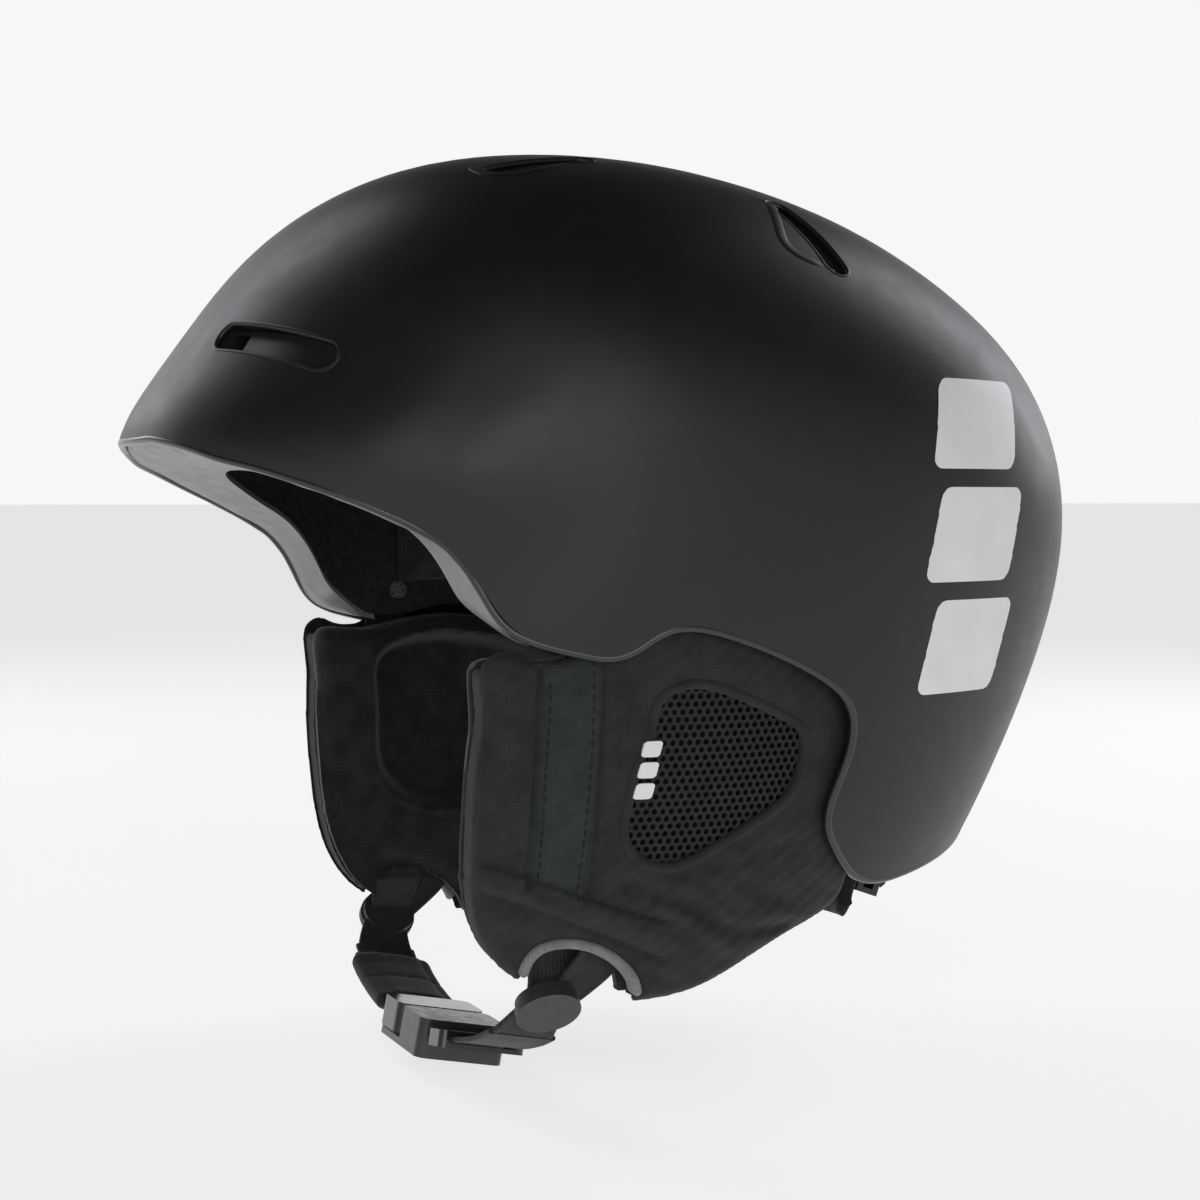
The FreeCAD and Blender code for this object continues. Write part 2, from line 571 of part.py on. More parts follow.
put("front_vent_insert_left", insert("front", 3.2, 10.0))
put("front_vent_insert_right", mirror(NODES["front_vent_insert_left"]))
for k in ("top", "rear"):
    q = insert(k, 5.0, 10.0)
    put(k + "_vent_mesh", Part.makeCompound([q, mirror(q)]))

# ---------------------------------------------------------------- goggle clip at the back
def mid_point(psi, off=0.0):
    a = math.radians(psi)
    r = r_out(psi)
    e = math.radians(0.5)
    p0 = ((-r_out(psi - 0.5) * math.sin(a - e)), r_out(psi - 0.5) * math.cos(a - e))
    p1 = ((-r_out(psi + 0.5) * math.sin(a + e)), r_out(psi + 0.5) * math.cos(a + e))
    ty, tz = p1[0] - p0[0], p1[1] - p0[1]
    ln = math.hypot(ty, tz)
    ny, nz = -tz / ln, ty / ln
    y, z = -r * math.sin(a), r * math.cos(a)
    if ny * y + nz * z < 0:
        ny, nz = -ny, -nz
    return y + ny * off, z + nz * off


CLIP = [mid_point(p, o) for p, o in ((-107.5, 4.6), (-109.5, 7.6), (-113, 8.6), (-118, 8.9), (-123, 8.4), (-126.5, 6.2), (-128.3, 3.4))]
HINGE_Y, HINGE_Z = mid_point(-106.6, 4.4)
skin = solid_between(patch(layer(t=-0.25)), patch(layer(t=30.0)))
lw = 15.0


def yz_ribbon(path, t, w):
    n = len(path)
    up, dn = [], []
    for i in range(n):
        a, b = path[max(i - 1, 0)], path[min(i + 1, n - 1)]
        ty, tz = b[0] - a[0], b[1] - a[1]
        ln = math.hypot(ty, tz)
        ny, nz = -tz / ln, ty / ln
        up.append(V(-w / 2, path[i][0] + ny * t / 2, path[i][1] + nz * t / 2))
        dn.append(V(-w / 2, path[i][0] - ny * t / 2, path[i][1] - nz * t / 2))
    e = []
    for pts in (up, list(reversed(dn))):
        c = Part.BSplineCurve()
        c.interpolate(pts)
        e.append(c.toShape())
    e.append(Part.makeLine(up[-1], dn[-1]))
    e.append(Part.makeLine(dn[0], up[0]))
    return Part.Face(Part.Wire(Part.__sortEdges__(e))).extrude(V(w, 0, 0))


lever = yz_ribbon(CLIP, 2.2, lw)
knuck = Part.makeCylinder(3.0, lw, V(-lw / 2, HINGE_Y, HINGE_Z), V(1, 0, 0))
lever = lever.fuse(knuck).removeSplitter()
lever = lever.cut(Part.makeCylinder(1.55, 60, V(-30, HINGE_Y, HINGE_Z), V(1, 0, 0)))
cy, cz = mid_point(-128.6, 2.4)
sy, sz = mid_point(-128.6, 0.3)
sn = V(0, cy - sy, cz - sz).normalize()
studhole = Part.makeCylinder(3.2, 12, V(0, cy, cz) - sn * 6, sn)
tipy, tipz = mid_point(-129.3, 3.0)
tip = Part.makeCylinder(6.5, 2.0, V(0, tipy, tipz) - sn * 1.0, sn)
lever = largest(lever.fuse(tip).cut(Part.makeCylinder(3.3, 20, V(0, tipy, tipz) - sn * 10, sn)).cut(skin))
ring = Part.makeCylinder(4.6, 1.4, V(0, tipy, tipz) + sn * 1.15, sn).cut(Part.makeCylinder(2.4, 6, V(0, tipy, tipz), sn))
lever = largest(lever.cut(Part.makeCylinder(4.7, 5.0, V(0, tipy, tipz) + sn * 1.05, sn)))
put("goggle_clip_lever", lever)
put("goggle_clip_snap", ring)
stud = Part.makeCylinder(2.2, 6.0, V(0, tipy, tipz) - sn * 3.2, sn).cut(skin)
foot = Part.makeCylinder(5.2, 3.0, V(0, tipy, tipz) - sn * 4.4, sn).cut(skin)
stud = stud.fuse(foot.common(Part.makeCylinder(6, 2.6, V(0, tipy, tipz) - sn * 4.2, sn))).removeSplitter()
put("goggle_clip_stud", largest(stud))
ears = []
hx = lw / 2 + 0.35
for s in (1, -1):
    x0 = hx if s > 0 else -hx - 3.0
    e = Part.makeCylinder(3.0, 3.0, V(x0, HINGE_Y, HINGE_Z), V(1, 0, 0))
    p0 = mid_point(-106.6, -1.5)
    leg_e = Part.makePolygon([V(x0, HINGE_Y + 0, HINGE_Z + 3.0), V(x0, HINGE_Y - 0, HINGE_Z - 3.0),
                              V(x0, p0[0] - 1.0, p0[1] - 5.0), V(x0, p0[0] + 1.0, p0[1] + 5.0), V(x0, HINGE_Y + 0, HINGE_Z + 3.0)])
    e = e.fuse(Part.Face(leg_e).extrude(V(3.0, 0, 0)))
    ears.append(e)
pb = [mid_point(-103.0, 2.2), mid_point(-106.0, 2.2), mid_point(-106.0, -2.0), mid_point(-103.0, -2.0)]
foot = Part.Face(Part.makePolygon([V(-hx - 3.0, *q) for q in pb + pb[:1]])).extrude(V(2 * hx + 6.0, 0, 0))
cb = ears[0].fuse(ears[1]).fuse(foot).cut(skin)
cb = cb.cut(Part.makeCylinder(3.5, lw + 0.6, V(-lw / 2 - 0.3, HINGE_Y, HINGE_Z), V(1, 0, 0)))
cb = cb.cut(Part.makeCylinder(1.5, 60, V(-30, HINGE_Y, HINGE_Z), V(1, 0, 0))).removeSplitter()
put("goggle_clip_base", largest(cb))
put("goggle_clip_pin", Part.makeCylinder(1.5, 2 * hx + 6.0, V(-hx - 3.0, HINGE_Y, HINGE_Z), V(1, 0, 0)))

# ---------------------------------------------------------------- fit system
B = math.radians(DIAL_B)
NV_, AV = V(0, math.cos(B), -math.sin(B)), V(0, math.sin(B), math.cos(B))
M0 = V(0, DIAL_Y, DIAL_Z)


def loc(x, n, a):
    return M0 + V(x, 0, 0) + NV_ * n + AV * a


def ring_sector(r1, r2, f0, f1, a0, a1):
    """Part of a ring about the rack axis; angles in degrees from the middle plane, + to the left."""
    def p(r, f, a=a0):
        f = math.radians(f)
        return loc(r * math.sin(f), r * math.cos(f) - WING_R, a)
    fm = (f0 + f1) / 2
    e = [Part.Arc(p(r2, f0), p(r2, fm), p(r2, f1)).toShape(), Part.makeLine(p(r2, f1), p(r1, f1)),
         Part.Arc(p(r1, f1), p(r1, fm), p(r1, f0)).toShape(), Part.makeLine(p(r1, f0), p(r2, f0))]
    return Part.Face(Part.Wire(e)).extrude(AV * (a1 - a0))


PR = MOD * NT / 2
ALPHA = math.radians(28.0)
ADD, DED = 0.8 * MOD, 1.05 * MOD
PITCH = math.pi * MOD


def rack_teeth(side, f0, f1, off):
    """Teeth of one rack.  side +1: above the pinion, pointing down."""
    out = []
    n = int((f1 - f0) / math.degrees(PITCH / WING_R)) + 1
    for i in range(-20, 21):
        c = (i + off) * PITCH
        f = math.degrees(c / WING_R)
        if f < f0 or f > f1:
            continue
        hw = PITCH / 4 - 0.22
        t0, t1 = hw + (DED) * math.tan(ALPHA), hw - ADD * math.tan(ALPHA)
        fr = math.radians(f)
        u = V(math.cos(fr), 0, 0) - NV_ * math.sin(fr)
        r = V(math.sin(fr), 0, 0) + NV_ * math.cos(fr)
        c0 = M0 - NV_ * WING_R + r * (WING_R - 1.0)
        pts = [c0 + u * (-t0) + AV * side * (PR + DED), c0 + u * t0 + AV * side * (PR + DED),
               c0 + u * t1 + AV * side * (PR - ADD), c0 + u * (-t1) + AV * side * (PR - ADD)]
        out.append(Part.Face(Part.makePolygon(pts + pts[:1])).extrude(r * 2.0))
    return out


def wing(side):
    f0, f1 = (-13.5, 30.0) if side > 0 else (-30.0, 13.5)
    a0, a1 = (PR + DED - 0.05, PR + DED + 4.6) if side > 0 else (-PR - DED - 4.6, -PR - DED + 0.05)
    w = ring_sector(WING_R - 1.0, WING_R + 1.0, f0, f1, a0, a1)
    for t in rack_teeth(side, -12.5, 12.5, 0.5 if side > 0 else 0.0):
        w = w.fuse(t)
    # the broad end that bears on the head
    g0, g1 = (19.5, 31.0) if side > 0 else (-31.0, -19.5)
    b0, b1 = (-3.0, 11.6) if side > 0 else (-11.6, 3.0)
    w = w.fuse(ring_sector(WING_R - 1.0, WING_R + 1.0, g0, g1, b0, b1))
    return w


put("fit_wing_left", wing(1))
put("fit_wing_right", wing(-1))


def involute_pinion():
    rb = PR * math.cos(ALPHA)
    ro, rr = PR + ADD, PR - DED
    half = math.pi / (2 * NT) - 0.10 / PR
    inv = math.tan(ALPHA) - ALPHA
    pts = []
    for k in range(NT):
        c = math.pi / 2 + 2 * math.pi * k / NT
        fl = []
        for i in range(7):
            r = max(rb, rr) + (ro - max(rb, rr)) * i / 6
            al = math.acos(min(1.0, rb / r))
            th = half + inv - (math.tan(al) - al)
            fl.append((r, th))
        left = [(rr, fl[0][1] + 0.01)] + fl if rr < rb else fl
        for r, th in left:
            pts.append((r, c - th))
        for r, th in reversed(left):
            pts.append((r, c + th))
    return [(r * math.cos(t), r * math.sin(t)) for r, t in pts]


pp = involute_pinion()
pin = Part.Face(Part.makePolygon([loc(p[0], -1.2, p[1]) for p in pp] + [loc(pp[0][0], -1.2, pp[0][1])])).extrude(NV_ * 2.3)
put("dial_pinion", pin)
knob = Part.makeCylinder(12.5, 7.0, loc(0, 4.3, 0), NV_).fuse(Part.makeCylinder(2.9, 3.4, loc(0, 1.1, 0), NV_))
for i in range(18):
    a = 2 * math.pi * i / 18
    knob = knob.cut(Part.makeCylinder(1.1, 9, loc(13.0 * math.cos(a), 4.0, 13.0 * math.sin(a)), NV_))
put("dial_knob", knob.removeSplitter())
hb = ring_sector(WING_R - 3.2, WING_R - 1.5, -17.5, 17.5, -13.6, 13.6)
for a0, a1 in ((11.9, 13.6), (-13.6, -11.9)):
    hb = hb.fuse(ring_sector(WING_R - 3.2, WING_R + 1.55, -17.5, 17.5, a0, a1))
stem_top, stem_bot = V(0, 95.4, -66.5), loc(0, -2.4, 13.0)
sd = (stem_bot - stem_top).normalize()
sn2 = V(1, 0, 0).cross(sd).normalize()
st = Part.Face(Part.makePolygon([stem_top + V(-8.2, 0, 0) - sn2 * 1.1, stem_top + V(8.2, 0, 0) - sn2 * 1.1,
                                 stem_bot + V(8.2, 0, 0) - sn2 * 1.1 + sd * 1.0, stem_bot + V(-8.2, 0, 0) - sn2 * 1.1 + sd * 1.0,
                                 stem_top + V(-8.2, 0, 0) - sn2 * 1.1])).extrude(sn2 * 2.2)
CRY, CRZ = CR_Y, CR_Z
kn = Part.makeCylinder(3.2, 17.0, V(-8.5, CRY, CRZ), V(1, 0, 0))
web_k = Part.makeBox(17, 2.2, 6.0, V(-8.5, CRY - 1.1, CRZ - 6.0))
yoke = hb.fuse(st).fuse(kn).fuse(web_k).removeSplitter().cut(Part.makeCylinder(1.56, 60, V(-30, CRY, CRZ), V(1, 0, 0)))
put("cradle_yoke", largest(yoke))
cov = ring_sector(WING_R + 1.6, WING_R + 3.4, -17.5, 17.5, -13.6, 13.6).cut(Part.makeCylinder(3.2, 12, loc(0, 0, 0), NV_))
put("dial_housing", cov)
np_ = ring_sector(WING_R - 9.4, WING_R - 3.5, -21, 21, -24.0, 12.5)
put("nape_pad", np_)
hang = Part.makeBox(29, 2.0, 26, V(-14.5, 98.9, -76)).fuse(Part.makeBox(3, 7.5, 7, V(8.9, 91.5, -67))).fuse(Part.makeBox(3, 7.5, 7, V(-11.9, 91.5, -67)))
hang = hang.cut(Part.makeCylinder(1.5, 60, V(-30, CRY, CRZ), V(1, 0, 0))).removeSplitter()
put("cradle_hanger", hang)
put("cradle_pin", Part.makeCylinder(1.5, 23.8, V(-11.9, CRY, CRZ), V(1, 0, 0)))

put("outer_shell", largest(outer))
put("eps_liner", eps)

for n, s in NODES.items():
    if not s.isValid():
        print("INVALID", n)
    if len(s.Solids) != 1:
        print("solids", n, len(s.Solids))
    s.exportStep("parts/%s.step" % n)
print(len(NODES), "nodes")
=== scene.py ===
import bpy, bmesh, math
import numpy as np
from mathutils import Vector, Matrix


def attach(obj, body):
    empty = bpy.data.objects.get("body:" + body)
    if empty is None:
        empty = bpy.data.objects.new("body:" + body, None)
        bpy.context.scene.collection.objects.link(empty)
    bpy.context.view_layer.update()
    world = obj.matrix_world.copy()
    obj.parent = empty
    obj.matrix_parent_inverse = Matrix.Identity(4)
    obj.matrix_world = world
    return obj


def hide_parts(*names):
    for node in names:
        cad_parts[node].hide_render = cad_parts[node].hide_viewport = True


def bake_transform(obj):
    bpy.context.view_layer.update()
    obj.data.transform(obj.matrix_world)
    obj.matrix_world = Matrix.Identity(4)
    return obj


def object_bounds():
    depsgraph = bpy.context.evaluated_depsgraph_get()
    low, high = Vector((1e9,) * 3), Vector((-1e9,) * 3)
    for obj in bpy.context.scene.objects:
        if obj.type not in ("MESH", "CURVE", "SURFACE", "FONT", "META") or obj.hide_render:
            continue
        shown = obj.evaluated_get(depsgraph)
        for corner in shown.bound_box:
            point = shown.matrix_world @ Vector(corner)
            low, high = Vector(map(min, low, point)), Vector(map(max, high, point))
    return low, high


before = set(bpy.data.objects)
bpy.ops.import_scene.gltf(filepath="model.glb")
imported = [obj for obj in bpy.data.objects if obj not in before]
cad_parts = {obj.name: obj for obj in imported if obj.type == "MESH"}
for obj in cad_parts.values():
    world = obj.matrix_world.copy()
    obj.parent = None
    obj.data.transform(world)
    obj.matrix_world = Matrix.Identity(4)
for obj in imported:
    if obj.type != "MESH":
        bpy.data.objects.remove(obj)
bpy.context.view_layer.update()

MM = 0.001
HW, PE = 111.0, 2.245
KN = [-180, -150, -130, -112, -95, -78, -60, -40, -20, 0, 20, 40, 60, 76, 90, 104, 125, 150]
R_OUT = [177.8, 168.42, 153.72, 148.41, 146.91, 137.26, 118.66, 102.93, 94.87, 93.96,
         99.81, 111.02, 121.57, 131.51, 140.42, 126.32, 137.63, 155.95]
EDGE = [(-139.9, 10.5), (-137.9, 10.9), (-133.2, 8.6), (-126.9, 5.0), (-118.2, 2.0), (-108.2, -2.1),
        (-97.7, -6.5), (-86.7, -11.7), (-76.8, -17.4), (-71.3, -23.5), (-67.5, -30.0),
        (-64.6, -35.6), (-60.6, -40.0), (-54.3, -42.9), (-46.1, -45.0)]
EAR_EDGE = [(-46.1, -45.0), (-39.0, -46.7), (-34.7, -46.9), (-30.4, -45.6), (-26.2, -42.4), (-21.8, -39.6),
            (-16.6, -38.7), (-9.6, -39.6), (-1.6, -42.0), (6.6, -44.9), (15.2, -48.5), (24.3, -52.9),
            (30.9, -57.2), (34.4, -61.3), (36.2, -66.0), (36.1, -72.2), (34.6, -78.4), (32.4, -84.5),
            (31.0, -90.7), (31.5, -95.5), (34.5, -100.0), (39.0, -105.5), (44.5, -110.6)]
REAR_EDGE = [(44.5, -110.6), (51.0, -112.9), (59.0, -113.3), (70.6, -112.0), (83.1, -110.0), (96.0, -107.5),
             (108.0, -104.0), (120.0, -100.5), (135.0, -98.0), (175.0, -95.0)]
O_COVER = [(-64.5, -47), (-65.5, -58), (-66, -75), (-66, -92), (-65, -108), (-62.5, -119), (-57.5, -128), (-51, -134),
           (-44, -137.5), (-33, -140), (-22, -142), (-12, -142), (0, -139.5), (14, -132.5), (28, -125.5),
           (38, -121.5), (44, -117), (46, -108), (45.5, -92), (46, -76), (42, -61), (33, -49), (18, -39),
           (0, -34), (-18, -33), (-34, -35), (-41, -39), (-44, -46.5), (-49, -47.6), (-55, -46.8), (-60.5, -45.0)]
O_LINER = [(-64, -48.5), (-65, -60), (-65.3, -75), (-65.3, -92), (-64.3, -108), (-61.5, -118.5), (-56.5, -127.5),
           (-50, -133.3), (-43.5, -136.7), (-33, -139), (-22, -141), (-12, -141), (0, -138.5), (14, -131.5),
           (28, -124.6), (37, -120.8), (43, -116.5), (45, -108), (44.5, -95), (43, -84), (38, -71), (27, -59),
           (12, -51), (-6, -45.4), (-20, -44.4), (-36, -46.4), (-47, -48.2), (-55, -47.8)]
O_WINDOW = [(-22.8, -67.6), (-20.8, -58.4), (-15.4, -55.1), (-9.8, -54.7), (1.9, -58.3), (14.3, -63.6), (20.9, -68),
            (21.7, -76.3), (18.8, -84.4), (9.9, -90.8), (-1.6, -97), (-9.9, -101.2), (-16.8, -102.3), (-24, -99.2),
            (-27.8, -93), (-27.3, -84.9), (-25.7, -75.5)]
O_RECESS = [(-44, -58), (-45, -75), (-44, -95), (-36, -103), (-20, -106), (0, -106), (14, -102), (24, -92), (27, -78),
            (22, -66), (8, -57), (-12, -52), (-32, -52)]
NOTCH = [(-49.0, -152), (-49.0, -136), (-48.6, -130), (-46.6, -126.4), (-42.5, -124.9), (-37, -125), (-32, -126.6),
         (-27.9, -129), (-23.5, -132.6), (-20.5, -136.2), (-19.2, -140), (-18.6, -152)]
VENTS = {"front": ((50.5, -109.5, 34.3), (45, 20, -8), (0.36, -0.80, 0.48), 50.0, 9.0),
         "top": ((46.5, -33.5, 87.0), (-8, 34, 5.5), (0.36, -0.16, 0.92), 38.0, 9.0),
         "rear": ((74.0, 35.5, 68.0), (27, 7.5, -22), (0.62, 0.28, 0.73), 38.0, 8.0)}


# ------------------------------------------------------------------ curves
def periodic(kn, vals, period):
    n = len(kn); k = np.array(kn, float); v = np.array(vals, float)
    h = np.array([(k[(i + 1) % n] - k[i]) % period for i in range(n)])
    A = np.zeros((n, n)); b = np.zeros(n)
    for i in range(n):
        A[i, (i - 1) % n] += h[i - 1]; A[i, i] += 2 * (h[i - 1] + h[i]); A[i, (i + 1) % n] += h[i]
        b[i] = 6 * ((v[(i + 1) % n] - v[i]) / h[i] - (v[i] - v[i - 1]) / h[i - 1])
    M = np.linalg.solve(A, b)

    def f(x):
        x = (np.asarray(x, float) - k[0]) % period + k[0]
        i = np.clip(np.searchsorted(k, x, side="right") - 1, 0, n - 1); j = (i + 1) % n
        hh = h[i]; a = k[i] + hh - x; c = x - k[i]
        return (M[i] * a ** 3 + M[j] * c ** 3) / (6 * hh) + (v[i] / hh - M[i] * hh / 6) * a + (v[j] / hh - M[j] * hh / 6) * c
    return f


r_out = periodic(KN, R_OUT, 360)


def closed_curve(pts, n=220):
    p = np.array(pts, float); d = np.linalg.norm(np.roll(p, -1, 0) - p, axis=1)
    k = np.concatenate([[0], np.cumsum(d)[:-1]]); per = d.sum(); t = np.linspace(0, per, n, endpoint=False)
    return np.stack([periodic(k, p[:, i], per)(t) for i in range(p.shape[1])], 1)


def resample(p, step, closed=False):
    p = np.array(p, float)
    if closed:
        p = np.vstack([p, p[:1]])
    d = np.linalg.norm(np.diff(p, axis=0), axis=1); s = np.concatenate([[0], np.cumsum(d)])
    n = max(3, int(round(s[-1] / step)))
    t = np.linspace(0, s[-1], n + 1)
    q = np.stack([np.interp(t, s, p[:, i]) for i in range(p.shape[1])], 1)
    return q[:-1] if closed else q


def relax(p, it=2, closed=False):
    p = p.copy()
    for _ in range(it):
        q = (np.roll(p, 1, 0) + np.roll(p, -1, 0)) / 4 + p / 2
        if not closed:
            q[0], q[-1] = p[0], p[-1]
        p = q
    return p


def sdf(poly, Y, Z):
    """Distance inside a closed outline: positive inside."""
    P = np.stack([np.ravel(Y), np.ravel(Z)], 1); a = np.array(poly, float); b = np.roll(a, -1, 0)
    best = np.full(len(P), 1e18); ins = np.zeros(len(P), bool)
    for (y0, z0), (y1, z1) in zip(a, b):
        dy, dz = y1 - y0, z1 - z0; L = dy * dy + dz * dz + 1e-12
        t = np.clip(((P[:, 0] - y0) * dy + (P[:, 1] - z0) * dz) / L, 0, 1)
        best = np.minimum(best, (P[:, 0] - y0 - t * dy) ** 2 + (P[:, 1] - z0 - t * dz) ** 2)
        c = ((z0 > P[:, 1]) != (z1 > P[:, 1]))
        with np.errstate(divide="ignore", invalid="ignore"):
            xi = y0 + (P[:, 1] - z0) * dy / (dz if abs(dz) > 1e-12 else 1e-12)
        ins ^= c & (P[:, 0] < xi)
    return (np.sqrt(best) * np.where(ins, 1, -1)).reshape(np.shape(Y))


def line_dist(pts, Y, Z):
    best = np.full(np.shape(Y), 1e9); side = np.zeros(np.shape(Y))
    for (y0, z0), (y1, z1) in zip(pts[:-1], pts[1:]):
        dy, dz = y1 - y0, z1 - z0; L = dy * dy + dz * dz
        t = np.clip(((Y - y0) * dy + (Z - z0) * dz) / L, 0, 1)
        d = np.hypot(Y - y0 - t * dy, Z - z0 - t * dz)
        s = np.sign((Y - y0) * dz - (Z - z0) * dy)
        side = np.where(d < best, s, side); best = np.minimum(best, d)
    return best, side


def smooth(a, lo, hi):
    t = np.clip((a - lo) / (hi - lo), 0, 1)
    return t * t * (3 - 2 * t)


def x_pad(y, z):
    x = 104.0 - 0.0023 * np.minimum(z + 38.0, 0.0) ** 2
    return x - np.where(y < -5, 0.0033, 0.0042) * (y + 5.0) ** 2


def x_face(y, z):
    return 72.0 - 0.0009 * np.minimum(z + 45.0, 0.0) ** 2 - 0.0004 * (y + 10.0) ** 2


def x_shell(y, z, t=0.0):
    psi = np.degrees(np.arctan2(-y, z)); k = np.hypot(y, z) / (r_out(psi) - t)
    return (HW - t) * np.maximum(0.0, 1 - k ** PE) ** (1 / PE)


def implicit(p):
    k = np.hypot(p[:, 1], p[:, 2]) / r_out(np.degrees(np.arctan2(-p[:, 1], p[:, 2])))
    return (np.abs(p[:, 0]) / HW) ** PE + k ** PE - 1


def grad(p):
    g = np.zeros_like(p)
    for i in range(3):
        e = np.zeros(3); e[i] = 0.05
        g[:, i] = implicit(p + e) - implicit(p - e)
    return g / np.linalg.norm(g, axis=1)[:, None]


def onto(p, n, reach=16.0):
    lo, hi = np.full(len(p), -reach), np.full(len(p), reach)
    for _ in range(40):
        m = (lo + hi) / 2; out = implicit(p + n * m[:, None]) > 0
        hi = np.where(out, m, hi); lo = np.where(out, lo, m)
    return p + n * ((lo + hi) / 2)[:, None]


# ------------------------------------------------------------------ meshes
def clip_grid(f, y0, y1, z0, z1, h):
    ny, nz = int(round((y1 - y0) / h)), int(round((z1 - z0) / h))
    Y, Z = np.meshgrid(np.linspace(y0, y1, ny + 1), np.linspace(z0, z1, nz + 1), indexing="ij")
    G = f(Y, Z); G = np.where(np.abs(G) < 0.18 * h, 1e-7, G)
    verts, faces, idx, cut = [], [], {}, {}

    def vid(i, j):
        if (i, j) not in idx:
            idx[(i, j)] = len(verts); verts.append((Y[i, j], Z[i, j]))
        return idx[(i, j)]

    def cid(a, b):
        key = (a, b) if a < b else (b, a)
        if key not in cut:
            ga, gb = G[key[0]], G[key[1]]; t = ga / (ga - gb)
            if ga == 1e-7 or gb == 1e-7:
                t = 0.0 if ga == 1e-7 else 1.0
            pa = np.array([Y[key[0]], Z[key[0]]]); pb = np.array([Y[key[1]], Z[key[1]]])
            if t in (0.0, 1.0):
                q = key[0] if t == 0.0 else key[1]
                cut[key] = vid(*q)
            else:
                cut[key] = len(verts); verts.append(tuple(pa + (pb - pa) * t))
        return cut[key]

    for i in range(ny):
        for j in range(nz):
            c = [(i, j), (i + 1, j), (i + 1, j + 1), (i, j + 1)]
            g = [G[q] for q in c]
            if max(g) <= 0:
                continue
            poly = []
            for k in range(4):
                a, b = c[k], c[(k + 1) % 4]
                if g[k] > 0:
                    poly.append(vid(*a))
                if (g[k] > 0) != (g[(k + 1) % 4] > 0):
                    poly.append(cid(a, b))
            out = []
            for q in poly:
                if not out or out[-1] != q:
                    out.append(q)
            if len(out) > 1 and out[0] == out[-1]:
                out.pop()
            if len(out) >= 3 and len(set(out)) == len(out):
                faces.append(out)
    return np.array(verts), faces


def slab_mesh(v2, faces, xo, xi, walls=1):
    n = len(v2); Y, Z = v2[:, 0], v2[:, 1]
    A, B = xo(Y, Z), xi(Y, Z)
    vo = np.stack([A, Y, Z], 1); vi = np.stack([B, Y, Z], 1)
    F = [list(f) for f in faces] + [[q + n for q in reversed(f)] for f in faces]
    used = {}
    for f in faces:
        for a, b in zip(f, f[1:] + f[:1]):
            used[(a, b)] = True
    for (a, b) in used:
        if (b, a) not in used:
            F.append([b, a, a + n, b + n])
    return np.vstack([vo, vi]), F


def sweep(path, out, prof, closed=False, scale=None, caps=True):
    """Closed profile (side, out) swept along a path, out being each point's outward direction."""
    P = np.array(path, float); N = len(P)
    T = (np.roll(P, -1, 0) - np.roll(P, 1, 0))
    if not closed:
        T[0], T[-1] = P[1] - P[0], P[-1] - P[-2]
    T /= np.linalg.norm(T, axis=1)[:, None]
    O = np.broadcast_to(np.array(out, float), P.shape).copy()
    O -= T * (O * T).sum(1)[:, None]; O /= np.linalg.norm(O, axis=1)[:, None]
    S = np.cross(T, O); m = len(prof); V = []
    for i in range(N):
        sa, sb = (1, 1) if scale is None else scale[i]
        for a, b in prof:
            V.append(P[i] + S[i] * a * sa + O[i] * b * sb)
    F = []
    for i in range(N if closed else N - 1):
        j = (i + 1) % N
        for k in range(m):
            l = (k + 1) % m
            F.append([i * m + k, j * m + k, j * m + l, i * m + l])
    if not closed and caps:
        F.append(list(range(m))); F.append([(N - 1) * m + k for k in reversed(range(m))])
    return np.array(V), F


def ring(a, b, n=12, e=2.0):
    out = []
    for i in range(n):
        t = 2 * math.pi * i / n; c, s = math.cos(t), math.sin(t)
        out.append((a * math.copysign(abs(c) ** (2 / e), c), b * math.copysign(abs(s) ** (2 / e), s)))
    return out


def tape(w, t):
    """Cross section of flat webbing: two thicker woven edges and a ribbed middle."""
    top = [(-w, 0.0), (-w + 0.25, t * 0.75), (-w + 0.9, t), (-w + 1.7, t * 0.95), (-w + 2.1, t * 0.72)]
    n = 5
    for i in range(1, n):
        x = -w + 2.1 + (2 * w - 4.2) * i / n
        top.append((x, t * (0.84 if i % 2 else 0.76)))
    top += [(-a, b) for a, b in reversed(top[:5])]
    bot = [(a, -b) for a, b in reversed(top[1:-1])]
    return top + bot


def make(name, V, F, mat, body=None, slot=None, angle=38, flip=False, index=None, level=0):
    V = np.array(V, float) * MM
    if flip:
        V = V * np.array([-1.0, 1, 1]); F = [list(reversed(f)) for f in F]
    me = bpy.data.meshes.new(name); me.from_pydata([tuple(v) for v in V], [], [list(f) for f in F])
    me.validate(); me.update()
    bm = bmesh.new(); bm.from_mesh(me)
    bmesh.ops.remove_doubles(bm, verts=bm.verts, dist=1e-6)
    bmesh.ops.dissolve_degenerate(bm, edges=bm.edges, dist=1e-7)
    bmesh.ops.recalc_face_normals(bm, faces=bm.faces)
    bm.to_mesh(me); bm.free()
    me.polygons.foreach_set("use_smooth", [True] * len(me.polygons))
    me.set_sharp_from_angle(angle=math.radians(angle))
    mats = mat if isinstance(mat, (list, tuple)) else [mat]
    for m in mats:
        me.materials.append(m)
    if index is not None:
        for p in me.polygons:
            p.material_index = index(Vector(p.center) / MM)
    ob = bpy.data.objects.new(name, me); bpy.context.scene.collection.objects.link(ob)
    if level:
        s = ob.modifiers.new("sub", "SUBSURF"); s.levels = s.render_levels = level
    if body:
        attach(ob, body)
    return ob


